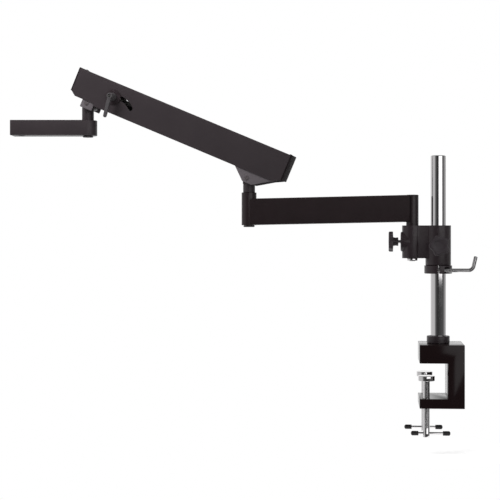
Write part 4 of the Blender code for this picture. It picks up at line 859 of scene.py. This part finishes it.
arm_space = shift(*tilt_at) @ yaw @ Matrix.Rotation(-TILT, 4, "Y")
back, front = -HOUSING_BACK, HOUSING_LENGTH - HOUSING_BACK
shut = END_PLATE + CLEARANCE
side_view = [
    (back + shut, CROWN - END_HEIGHT["rear"]), (back + REAR_CHAMFER, FLOOR), (front - NOTCH_LENGTH, FLOOR),
    (front - NOTCH_LENGTH, CROWN - NOTCH_HEIGHT), (front - FRONT_CHAMFER, CROWN - NOTCH_HEIGHT),
    (front - shut, CROWN - END_HEIGHT["front"]), (front - shut, CROWN), (back + shut, CROWN),
]


def folds(direction, middle):
    return abs(direction.x) > 0.9 and middle.z > CROWN - 1 * MM


def folds_inside(direction, middle):
    return abs(direction.x) > 0.9 and middle.z > 50 * MM


outer_skin = rounded(prism(side_view, -HOUSING_HALF, HOUSING_HALF), FOLD_RADIUS, 8, folds)
inner_half = HOUSING_HALF - SHEET
hollow = block((back - 20 * MM, -inner_half, FLOOR - 50 * MM), (front + 20 * MM, inner_half, CROWN - SHEET))
rounded(hollow, FOLD_RADIUS - SHEET, 4, folds_inside)
lips = []
for sign in (-1, 1):
    inner, outer = sorted((sign * (inner_half - LIP_WIDTH), sign * (HOUSING_HALF - 0.5 * MM)))
    lips.append(block((back + REAR_CHEEK_TOP[1] + LIP_SETBACK, inner, FLOOR),
                      (front - NOTCH_LENGTH - LIP_SETBACK, outer, FLOOR + SHEET)))


def bolt_path(offset, low, high, steps):
    """The lock bolt's path in the housing as the arm tilts, moved out or in by offset."""
    centre_x, centre_z = BOLT_X - PIN_RISE * sin(TILT), BOLT_Z - PIN_RISE * cos(TILT)
    angles = [low + (high - low) * i / steps for i in range(steps + 1)]
    radius = PIN_RISE + offset
    return [(centre_x + radius * sin(a), centre_z + radius * cos(a)) for a in angles]


slot_line = bolt_path(SLOT_HALF, SLOT_LOW, SLOT_HIGH, 24)[:-1]
around = 90 - degrees(SLOT_HIGH)
slot_line += arc(bolt_path(0, SLOT_HIGH, SLOT_HIGH, 1)[0], SLOT_HALF, around, around - 180, 16)
slot_line += bolt_path(-SLOT_HALF, SLOT_LOW, SLOT_HIGH, 24)[::-1][1:-1]
around = 270 - degrees(SLOT_LOW)
slot_line += arc(bolt_path(0, SLOT_LOW, SLOT_LOW, 1)[0], SLOT_HALF, around, around - 180, 16)
more_cuts = [prism(slot_line, -HOUSING_HALF - 10 * MM, HOUSING_HALF + 10 * MM)]
ends = {"rear": (back, 1), "front": (front, -1)}
for end, (x, inward) in ends.items():
    more_cuts.append(placed(drill(COVER_SCREW_RADIUS, CROWN - 10 * MM, CROWN + 10 * MM, 32),
                            shift(x + inward * COVER_SCREW_INSET)))
hollowed = combined("folded_housing", outer_skin, cut=[hollow])
channel = bmesh.new()
channel.from_mesh(hollowed.data)
bpy.data.objects.remove(hollowed, do_unlink=True)
piece("folded_housing", channel, charcoal, "spring_arm", ["arm_housing"], joined=lips, cut=more_cuts,
      at=arm_space)


# End plates and cover screws
# Pressed plates with a flange under the housing's top. Their edges stand a little proud, and a
# pan-head cross-recess screw comes down through the housing into each flange.

# Dull black paint on the pressed end plates: darker in colour than the housing's powder, which paints in the
# shade their faces fall in, and too dull to shine even when seen along its face
dull_plate_paint_with_painted_shade = new_finish("dark_end_plate_paint_painted_shade", "powder_coated_steel", "1d1719", 0.8, 1.3 * MM, 0.012 * MM,
                    clouds=(20 * MM, "1a1517", "221b1e"), shape=(3.0,), IOR=1.2)
for end, (x, inward) in ends.items():
    low_x, high_x = sorted((x, x + inward * END_PLATE))
    foot = CROWN - END_HEIGHT[end]
    plate = block((low_x, -HOUSING_HALF, foot), (high_x, HOUSING_HALF, CROWN + PLATE_PROUD))
    rounded(plate, 3 * MM, 5, folds)
    rounded(plate, 0.5 * MM, 2, lambda direction, middle: abs(direction.x) < 0.5)
    flange_top = CROWN - SHEET - CLEARANCE
    low_x, high_x = sorted((x + inward * END_PLATE * 0.5, x + inward * END_FLANGE))
    reach = inner_half - (FOLD_RADIUS - SHEET) - CLEARANCE
    flange = block((low_x, -reach, flange_top - END_PLATE), (high_x, reach, flange_top))
    place = shift(x + inward * COVER_SCREW_INSET)
    hole = placed(drill(COVER_SCREW_RADIUS, CROWN - 20 * MM, CROWN - 1 * MM, 32), place)
    # The end plates take the darkened paint: their darker colour is painted shade
    piece(end + "_closing_plate", plate, dull_plate_paint_with_painted_shade, "spring_arm", [end + "_end_plate"], joined=[flange],
          cut=[hole], at=arm_space)
    seat = CROWN + CLEARANCE
    dome = arc((0, seat + 0.5 * MM), COVER_HEAD_RADIUS, 0, 75, 5, 1.1 * MM)
    screw = turned([(0, CROWN - 7 * MM), (COVER_SCREW_RADIUS, CROWN - 7 * MM), (COVER_SCREW_RADIUS, seat),
                    (COVER_HEAD_RADIUS, seat)] + dome + [(0, seat + 1.6 * MM)], 48)
    recess = [block((-2 * MM, -0.45 * MM, seat + 0.7 * MM), (2 * MM, 0.45 * MM, seat + 3 * MM)),
              block((-0.45 * MM, -2 * MM, seat + 0.75 * MM), (0.45 * MM, 2 * MM, seat + 3 * MM))]
    piece(end + "_pan_head_screw", screw, zinc, "spring_arm", [end + "_cover_screw"], cut=recess,
          at=arm_space @ place)


# Cheeks and lower pins
# Laser-cut steel cheeks, welded inside the housing's walls, hang below it and hold the two
# lower pins. Each pin is turned with a head and peened over on the far side.
def corner(before, here, after, size, steps=6):
    """Points that round one corner of an outline."""
    middle = Vector(here)
    start = middle + (Vector(before) - middle).normalized() * size
    end = middle + (Vector(after) - middle).normalized() * size
    shares = [i / steps for i in range(steps + 1)]
    return [tuple(start * (1 - t) ** 2 + middle * 2 * t * (1 - t) + end * t ** 2) for t in shares]


PIN_HEAD_RADIUS = 4.4 * MM
PIN_HEAD_HEIGHT = 1.4 * MM

# Grey cheek paint, paler and duller than the powder on the housing: partly the cheeks' own lighter grey,
# partly painted light that makes up for the shade they hang in under the housing's edge
cheek_paint_and_painted_light = new_finish("pale_cheek_paint_and_painted_light", "powder_coated_steel", "5f595d", 0.5, 0.8 * MM, 0.008 * MM,
                         clouds=(5 * MM, "5a5458", "666064"), IOR=1.45)
nose_at = pivot("nose_levelling")
front_pin = arm_space.inverted() @ nose_at
left, right = (s - HOUSING_BACK for s in REAR_CHEEK_TOP)
foot_left, foot_right = (s - HOUSING_BACK for s in REAR_CHEEK_FOOT)
foot = FLOOR - REAR_CHEEK_DEPTH
rear_outline = [(left, FLOOR + CHEEK_OVERLAP), (left, FLOOR)]
rear_outline += corner((left, FLOOR), (foot_left, foot), (foot_right, foot), CHEEK_CORNER)
rear_outline += corner((foot_left, foot), (foot_right, foot), (right, FLOOR), CHEEK_CORNER)
rear_outline += [(right, FLOOR), (right, FLOOR + CHEEK_OVERLAP)]
left, right = (front_pin.x + s for s in FRONT_CHEEK_SPAN)
foot = FLOOR - FRONT_CHEEK_DEPTH
top = FLOOR + CHEEK_OVERLAP
front_outline = [(left, top)] + corner((left, top), (left, foot), (right, foot), CHEEK_CORNER)
front_outline += corner((left, foot), (right, foot), (right, top), CHEEK_CORNER) + [(right, top)]
for end, outline, pin in (("rear", rear_outline, Vector()), ("front", front_outline, front_pin)):
    axis = along(Y, (pin.x, 0, pin.z))
    for side, low_y, high_y in (("near", CHEEK_INNER, CHEEK_OUTER), ("far", -CHEEK_OUTER, -CHEEK_INNER)):
        hole = placed(drill(LOWER_PIN_RADIUS, -40 * MM, 40 * MM), axis)
        shape = rounded(prism(outline, low_y, high_y), 0.4 * MM, 2)
        # The cheeks' pale colour is partly painted light against the shade under the housing
        piece("{}_hanger_{}".format(end, side), shape, cheek_paint_and_painted_light, "spring_arm",
              ["{}_cheek_{}".format(end, side)], cut=[hole], at=arm_space)
    seat = CHEEK_OUTER + CLEARANCE
    crown = seat + PIN_HEAD_HEIGHT
    pin_shape = turned(
        [(0, -crown)] + round_edge(PIN_HEAD_RADIUS, -crown, 0.9 * MM, False)
        + [(PIN_HEAD_RADIUS, -seat), (LOWER_PIN_RADIUS, -seat),
           (LOWER_PIN_RADIUS, seat), (PIN_HEAD_RADIUS, seat)]
        + round_edge(PIN_HEAD_RADIUS, crown, 0.9 * MM, True) + [(0, crown)], 64
    )
    piece(end + "_pivot_pin", pin_shape, blackened, "spring_arm", [end + "_lower_pin"], at=arm_space @ axis)


# Upper link
# A flat bar of zinc-plated steel, parallel to the housing, that keeps the nose upright. It
# carries a cross tube for the lock bolt and a tongue that the balance springs pull on.
LINK_HALF_HEIGHT = 4 * MM
LINK_EYE = 7 * MM
TONGUE_HALF = 5 * MM
TONGUE_SETBACK = 60.5 * MM
BOLT_TUBE = 7 * MM
BOLT_RADIUS = 4 * MM
SPRING_LINE = 29 * MM
SPRING_PIN_RADIUS = 3 * MM
SPRING_OFFSET = 19 * MM
SPRING_RADIUS = 6 * MM

link_at = pivot("upper_link_tilt")
link_end = nose_at + Vector((0, 0, PIN_RISE))
span = link_end - link_at
link_length = span.length
link_tilt = asin(span.z / link_length)
link_space = shift(*link_at) @ yaw @ Matrix.Rotation(-link_tilt, 4, "Y")
bolt = link_space.inverted() @ pivot("lock_lever_turn")
tongue = link_space.inverted() @ (arm_space @ Vector((BOLT_X - TONGUE_SETBACK, 0, SPRING_LINE)))
flat = -LINK_HALF_HEIGHT
link_outline = arc((0, 0), LINK_EYE, 60, 300, 24) + [(12 * MM, flat)]
link_outline += [(tongue.x - TONGUE_HALF, flat)] + arc((tongue.x, tongue.z), TONGUE_HALF, 180, 360, 20)
link_outline += [(tongue.x + TONGUE_HALF, flat)]
link_outline += [(link_length - 12 * MM, flat)] + arc((link_length, 0), LINK_EYE, -120, 120, 24)
link_outline += [(link_length - 12 * MM, LINK_HALF_HEIGHT), (12 * MM, LINK_HALF_HEIGHT)]
tube_reach = inner_half - CLEARANCE
bolt_axis = along(Y, (bolt.x, 0, bolt.z))
cross_tube = placed(bar(BOLT_TUBE, -tube_reach, tube_reach, 0.4 * MM, 64), bolt_axis)
link_holes = [placed(drill(BOLT_RADIUS, -60 * MM, 60 * MM), bolt_axis)]
link_holes.append(crosswise(drill(SPRING_PIN_RADIUS, -20 * MM, 20 * MM), tongue.x, tongue.z))
for x in (0, link_length):
    link_holes.append(crosswise(drill(UPPER_PIN_RADIUS, -20 * MM, 20 * MM), x, 0))
piece("parallel_link", prism(link_outline, -LINK_HALF, LINK_HALF), zinc, "upper_link", ["upper_link"],
      joined=[cross_tube], cut=link_holes, at=link_space)
reach = SPRING_OFFSET + SPRING_RADIUS
piece("spring_cross_pin", bar(SPRING_PIN_RADIUS, -reach, reach, 0.5 * MM, 48), zinc, "upper_link",
      ["spring_pin"], at=link_space @ along(Y, (tongue.x, 0, tongue.z)))


# Balance springs
# Two close-wound tension springs of oiled steel wire carry the microscope's weight. Each hooks
# over the link's cross pin and over a bar across the housing.
WIRE_RADIUS = 0.9 * MM
SPRING_TURNS = 45
SPRING_LEG = 9 * MM
SPRING_BAR_X = 410.5 * MM


def wire(path, radius, sides=10):
    """A wire along a free path, its cross-section carried along without twist."""
    shape = bmesh.new()
    side = heading(path, 0).orthogonal().normalized()
    rings = []
    for i, point in enumerate(path):
        ahead = heading(path, i)
        side = (side - ahead * side.dot(ahead)).normalized()
        up = ahead.cross(side)
        offsets = [radius * (cos(t) * side + sin(t) * up) for t in full_turn(sides)]
        rings.append([shape.verts.new(point + offset) for offset in offsets])
    bridge(shape, rings)
    shape.faces.new(rings[0])
    shape.faces.new(rings[-1])
    return shape


# Oil-tempered wire: dark grey-blue steel, drawn along its length and a little wet
oiled = new_finish("oil_tempered_spring_wire", "oiled_spring_steel", "55565b", 0.32, 0.5 * MM, 0.003 * MM,
                   edge=0.2 * MM, clouds=(3 * MM, "4a4b50", "626369"), Metallic=1.0)
bar_reach = inner_half - CLEARANCE
piece("spring_anchor_bar", bar(SPRING_PIN_RADIUS, -bar_reach, bar_reach, 0.4 * MM, 48), zinc, "spring_arm",
      ["spring_bar"], at=arm_space @ along(Y, (SPRING_BAR_X, 0, SPRING_LINE)))
hook = SPRING_PIN_RADIUS + CLEARANCE + WIRE_RADIUS
pin_x = BOLT_X - TONGUE_SETBACK
coil_radius = SPRING_RADIUS - WIRE_RADIUS
coil_start, coil_end = pin_x + hook + SPRING_LEG, SPRING_BAR_X - hook - SPRING_LEG
for side, y in (("near", SPRING_OFFSET), ("far", -SPRING_OFFSET)):
    path = [Vector((x, y, z)) for x, z in arc((pin_x, SPRING_LINE), hook, -170, 0, 10)]
    path.append(Vector((coil_start - 2 * MM, y, SPRING_LINE + 2 * MM)))
    steps = SPRING_TURNS * 20
    for i in range(steps + 1):
        angle = tau * SPRING_TURNS * i / steps
        x = coil_start + (coil_end - coil_start) * i / steps
        path.append(Vector((x, y + coil_radius * sin(angle), SPRING_LINE + coil_radius * cos(angle))))
    path.append(Vector((coil_end + 2 * MM, y, SPRING_LINE + 2 * MM)))
    path += [Vector((x, y, z)) for x, z in arc((SPRING_BAR_X, SPRING_LINE), hook, 180, 350, 10)]
    piece("tension_spring_" + side, wire(path, WIRE_RADIUS), oiled, "spring_arm", ["balance_spring_" + side],
          at=arm_space)


# Lock bolt and lever
# A bolt crosses the housing through its arc slots. The die-cast lever on the near side pulls a
# wide washer against the wall, which fixes the arm's tilt; a nut and washer hold the far side.
WASHER_RADIUS = 16 * MM
WASHER_THICKNESS = 3 * MM
FAR_WASHER_RADIUS = 10 * MM
FAR_WASHER_THICKNESS = 2 * MM
NUT_FLATS = 13 * MM
NUT_THICKNESS = 6.5 * MM
LEVER_HUB = 8.25 * MM
LEVER_TOP = 6.25 * MM
LEVER_HUB_LENGTH = 23.5 * MM
LEVER_LENGTH = 46 * MM
LEVER_ROOT = 4.25 * MM
LEVER_TIP = 3.25 * MM
LEVER_THICKNESS = 7.5 * MM
LEVER_SOCKET = 3.4 * MM
LEVER_ANGLE = radians(75)

# Grey textured paint on a zinc casting: paler than the sheet, dull and slightly rough
cast_grey = new_finish("grey_paint_on_die_casting", "grey_die_cast", "454244", 0.5, 0.7 * MM, 0.03 * MM,
                       clouds=(3 * MM, "3f3c3e", "4d4a4c"), IOR=1.5)
wall = HOUSING_HALF + CLEARANCE
washer_top = wall + WASHER_THICKNESS
hub_low = washer_top + CLEARANCE
hub_high = hub_low + LEVER_HUB_LENGTH
bolt_top = hub_high - 10 * MM
bolt_bottom = -wall - FAR_WASHER_THICKNESS - CLEARANCE - NUT_THICKNESS - 1.9 * MM
at = link_space @ bolt_axis
piece("lock_through_bolt", bar(BOLT_RADIUS, bolt_bottom, bolt_top, 0.8 * MM, 48), zinc, "upper_link",
      ["lock_bolt"], at=at)
dished = turned(
    [(BOLT_RADIUS + CLEARANCE, wall)] + flank(WASHER_RADIUS, wall, washer_top - 0.6 * MM, 0.5 * MM)
    + [(LEVER_HUB + 3 * MM, washer_top - 0.4 * MM), (LEVER_HUB + 1.5 * MM, washer_top),
       (BOLT_RADIUS + CLEARANCE, washer_top)], 96, hollow=True
)
piece("lock_friction_washer", dished, satin, "upper_link", ["lock_washer"], at=at)
plain = tube(BOLT_RADIUS + CLEARANCE, FAR_WASHER_RADIUS, -wall - FAR_WASHER_THICKNESS, -wall, 0.2 * MM, 64)
piece("lock_plain_washer", plain, zinc, "upper_link", ["lock_far_washer"], at=at)
nut_top = -wall - FAR_WASHER_THICKNESS - CLEARANCE
nut_bottom = nut_top - NUT_THICKNESS
across = NUT_FLATS / 2 / cos(pi / 6)
hexagon = rod(across, nut_bottom, nut_top, 6)
cone = turned([(across * 0.93, nut_bottom - 1 * MM), (30 * MM, nut_bottom - 1 * MM),
               (30 * MM, nut_bottom + 8 * MM)], 96, hollow=True)
nut_bore = drill(BOLT_RADIUS, nut_bottom - 5 * MM, nut_top + 5 * MM)
piece("lock_hexagon_nut", hexagon, zinc, "upper_link", ["lock_nut"], cut=[cone, nut_bore], at=at)

lever_at = pivot("lock_lever_turn")
bore = BOLT_RADIUS + CLEARANCE
hub_shape = turned(
    [(0, bolt_top + CLEARANCE), (bore, bolt_top + CLEARANCE), (bore, hub_low)]
    + round_edge(LEVER_HUB, hub_low, 0.5 * MM, False)
    + [(LEVER_HUB, hub_low + 6 * MM), (LEVER_TOP, hub_low + 9.5 * MM)]
    + round_edge(LEVER_TOP, hub_high, 1.0 * MM, True)
    + [(LEVER_SOCKET, hub_high), (LEVER_SOCKET, hub_high - 2.5 * MM), (0, hub_high - 2.5 * MM)], 96
)
grip_end = LEVER_LENGTH - LEVER_TIP
grip_start = LEVER_TOP * 0.7
grip_outline = [(grip_start, -LEVER_ROOT)] + arc((grip_end, 0), LEVER_TIP, -90, 90, 16)
grip_outline.append((grip_start, LEVER_ROOT))
middle = hub_high - LEVER_THICKNESS / 2 - 0.8 * MM
grip = prism(grip_outline, middle - LEVER_THICKNESS / 2, middle + LEVER_THICKNESS / 2)
rounded(grip, 1.6 * MM, 4, lambda direction, where: abs(direction.y) < 0.5)
placed(grip, Matrix.Rotation(LEVER_ANGLE, 4, "Y"))
upright = shift(*lever_at) @ yaw
piece("clamping_lever", placed(hub_shape, along(Y)), cast_grey, "lock_lever", ["lock_lever"], joined=[grip],
      at=upright)
retaining = turned(
    [(0, hub_high - 2.4 * MM), (3.1 * MM, hub_high - 2.4 * MM), (3.1 * MM, hub_high - 0.5 * MM),
     (2.8 * MM, hub_high - 0.2 * MM), (1.7 * MM, hub_high - 0.2 * MM),
     (1.7 * MM, hub_high - 1.8 * MM), (0, hub_high - 1.8 * MM)], 48
)
piece("lever_retaining_screw", retaining, zinc, "lock_lever", at=upright @ along(Y))


# Nose pivot
# The front fork, the same forging as the elbow's with a shorter neck. The parallel link keeps it
# upright at every height, and the front arm turns on its journal.
FRONT_JOURNAL = 8 * MM
SETBACK = 6 * MM

front_arm_at = pivot("front_arm_swing")
arm_low, arm_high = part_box("front_arm")
nose_frame = shift(nose_at.x, nose_at.y) @ yaw
fork_pieces("nose", nose_at, nose_frame, SETBACK, arm_high.z + CLEARANCE, FRONT_JOURNAL, arm_low.z)


# Front arm
# A solid bar, round at its pivot and square at its tip, powder coated. The upright bore takes
# the microscope holder's 16 mm pin, and a socket set screw in the end face grips it.
FRONT_HALF = 19.5 * MM
FRONT_LENGTH = 162 * MM
FRONT_DIRECTION = radians(183.7)
ACCESSORY_RADIUS = 8 * MM
ACCESSORY_INSET = 20 * MM
GRUB_RADIUS = 3 * MM

front_frame = shift(front_arm_at.x, front_arm_at.y) @ Matrix.Rotation(FRONT_DIRECTION, 4, "Z")
outline = [(FRONT_LENGTH, -FRONT_HALF), (FRONT_LENGTH, FRONT_HALF)] + arc((0, 0), FRONT_HALF, 90, 270, 48)
front_bar = rounded(prism(outline, arm_low.z, arm_high.z, "Z"), 0.9 * MM, 3)
bore_x = FRONT_LENGTH - ACCESSORY_INSET
middle = (arm_low.z + arm_high.z) / 2
washer_low, washer_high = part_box("nose_keeper_washer")
relief = (washer_high.x - washer_low.x) / 2 + CLEARANCE
relief_cut = bar(relief, arm_low.z - 5 * MM, arm_low.z + 0.4 * MM, 0.05 * MM)
accessory = flared(ACCESSORY_RADIUS, arm_low.z, arm_high.z, 1.5 * MM, 0.5 * MM)
front_holes = [
    drill(FRONT_JOURNAL, arm_low.z - 10 * MM, arm_high.z + 10 * MM, 96), relief_cut,
    placed(accessory, shift(bore_x)),
    placed(drill(GRUB_RADIUS, bore_x + ACCESSORY_RADIUS - 2 * MM, FRONT_LENGTH + 10 * MM),
           along(X, (0, 0, middle))),
]
piece("front_bar", front_bar, charcoal, "front_arm", ["front_arm"], cut=front_holes, at=front_frame)
plug, hexagon = set_screw(GRUB_RADIUS, bore_x + ACCESSORY_RADIUS + 0.2 * MM, FRONT_LENGTH - 1.5 * MM)
piece("tip_grub_screw", plug, zinc, "front_arm", ["tip_set_screw"], cut=[hexagon],
      at=front_frame @ along(X, (0, 0, middle)))


# Studio
# A pale floor disc, low enough for the screws' full travel, and soft lamps. Metal and paint reflect a
# product studio: a white sweep behind, one tall softbox, and a dark room between them.
FLOOR_DROP = 35 * MM
FLOOR_RADIUS = 0.16
CAMERA_AT = (-0.130, -2.362, 0.248)
CAMERA_TURN = radians(3.72)
FOCAL_PIXELS = 1147
IMAGE_PIXELS = 500
CENTRE_X_PIXELS = 300
CENTRE_Y_PIXELS = 240
SENSOR = 36
LAMP_LEVEL = 0.55
SOFTBOX_LEVEL = 1.5
SOFTBOX_FLOOR = sin(radians(-4.8))
FLOOR_GLOW = 0.45
EVEN_LEVEL = 0.55
CEILING_LEVEL = 0.14
# Azimuth in degrees from the camera's side, positive to the right, with the level seen there
STUDIO_BANDS = [
    (-180, 1.0), (-133, 1.0), (-126, 0.62), (-60, 0.58), (-48, 0.30), (-40, 0.10), (-12, 0.03), (84, 0.10),
    (92, 0.35), (120, 0.35), (128, 0.10), (140, 1.0), (180, 1.0),
]


def grey(level):
    return level, level, level, 1


bpy.ops.mesh.primitive_circle_add(vertices=128, radius=FLOOR_RADIUS, fill_type="NGON",
                                  location=(0, 0, cad_low.z - FLOOR_DROP))
floor = bpy.context.object
floor.name = "floor"
# Matt white paper: it takes the object's shadow and gives back no highlight
paper = new_finish("matt_white_paper", None, "f2f2f2", 0.9, 1.5 * MM, 0.01 * MM)[0]
tree = paper.node_tree
glow = add(tree, "ShaderNodeEmission", {"Color": grey(1), "Strength": FLOOR_GLOW})
both = add(tree, "ShaderNodeAddShader", {0: tree.nodes["Principled BSDF"].outputs[0], 1: glow.outputs[0]})
tree.links.new(both.outputs[0], tree.nodes["Material Output"].inputs["Surface"])
floor.data.materials.append(paper)

world = bpy.data.worlds.new("studio")
bpy.context.scene.world = world
world.use_nodes = True
tree = world.node_tree
tree.nodes.clear()
direction = add(tree, "ShaderNodeTexCoord").outputs["Generated"]
parts = add(tree, "ShaderNodeSeparateXYZ", {0: direction})
facing = add(tree, "ShaderNodeMath", {0: parts.outputs["Y"], 1: -1.0}, operation="MULTIPLY")
azimuth = add(tree, "ShaderNodeMath", {0: parts.outputs["X"], 1: facing.outputs[0]}, operation="ARCTAN2")
share = add(tree, "ShaderNodeMapRange",
            {"Value": azimuth.outputs[0], "From Min": -pi, "From Max": pi})
ramp = add(tree, "ShaderNodeValToRGB", {0: share.outputs[0]})
while len(ramp.color_ramp.elements) < len(STUDIO_BANDS):
    ramp.color_ramp.elements.new(0.5)
for element, (bearing, level) in zip(ramp.color_ramp.elements, STUDIO_BANDS):
    element.position = (bearing + 180) / 360
    element.color = grey(level)

height = parts.outputs["Z"]
softbox = 1.0
for value, start, end, before, after in (
    (azimuth.outputs[0], radians(3), radians(6), 0.0, 1.0),
    (azimuth.outputs[0], radians(54), radians(62), 1.0, 0.0),
    (height, SOFTBOX_FLOOR, SOFTBOX_FLOOR + 0.012, 0.0, 1.0),
    (height, 0.30, 0.42, 1.0, 0.0),
):
    edge = add(tree, "ShaderNodeMapRange", {
        "Value": value, "From Min": start, "From Max": end, "To Min": before, "To Max": after,
    }, interpolation_type="SMOOTHSTEP")
    softbox = add(tree, "ShaderNodeMath", {0: edge.outputs[0], 1: softbox}, operation="MULTIPLY").outputs[0]
overhead = add(tree, "ShaderNodeMapRange", {"Value": height, "From Min": 0.35, "From Max": 0.6},
               interpolation_type="SMOOTHSTEP")
ceiling = add(tree, "ShaderNodeMix", {
    "Factor": overhead.outputs[0], "A": ramp.outputs[0], "B": grey(CEILING_LEVEL),
}, data_type="RGBA")
sky = add(tree, "ShaderNodeMix", {
    "Factor": softbox, "A": ceiling.outputs["Result"], "B": grey(SOFTBOX_LEVEL),
}, data_type="RGBA")
room, even, white = [
    add(tree, "ShaderNodeBackground", {"Color": colour, "Strength": strength}).outputs[0]
    for colour, strength in ((sky.outputs["Result"], 1.0), (grey(1), EVEN_LEVEL), (grey(1), 1.0))
]
path = add(tree, "ShaderNodeLightPath")
lit = add(tree, "ShaderNodeMixShader", {0: path.outputs["Is Glossy Ray"], 1: even, 2: room})
direct = add(tree, "ShaderNodeMath", {
    0: path.outputs["Is Camera Ray"], 1: path.outputs["Is Transmission Ray"],
}, operation="MAXIMUM")
seen = add(tree, "ShaderNodeMixShader", {0: direct.outputs[0], 1: lit.outputs[0], 2: white})
add(tree, "ShaderNodeOutputWorld", {"Surface": seen.outputs[0]})

for name, place, size, power in (
    ("near_softbox", (-1.0, -0.55, 1.0), 0.4, 9),
    ("key_softbox", (-1.6, -1.5, 2.1), 1.4, 20),
    ("fill_softbox", (1.8, -1.4, 1.2), 1.2, 10),
    ("top_softbox", (-0.3, 0.6, 2.4), 1.6, 20),
):
    lamp = bpy.data.lights.new(name, "AREA")
    lamp.shape = "DISK"
    lamp.size = size
    lamp.energy = power * LAMP_LEVEL
    holder = bpy.data.objects.new(name, lamp)
    bpy.context.scene.collection.objects.link(holder)
    holder.location = place
    holder.rotation_euler = (Vector((-0.3, 0, 0.25)) - Vector(place)).to_track_quat("-Z", "Y").to_euler()
    holder.visible_glossy = False

camera = bpy.data.objects.new("camera", bpy.data.cameras.new("camera"))
bpy.context.scene.collection.objects.link(camera)
camera.location = CAMERA_AT
camera.rotation_euler = (pi / 2, 0, CAMERA_TURN)
camera.data.sensor_width = SENSOR
camera.data.lens = SENSOR * FOCAL_PIXELS / IMAGE_PIXELS
camera.data.shift_x = (IMAGE_PIXELS / 2 - CENTRE_X_PIXELS) / IMAGE_PIXELS
camera.data.shift_y = (CENTRE_Y_PIXELS - IMAGE_PIXELS / 2) / IMAGE_PIXELS
camera.data.dof.use_dof = False
bpy.context.scene.camera = camera
bpy.context.scene.view_settings.view_transform = "Standard"
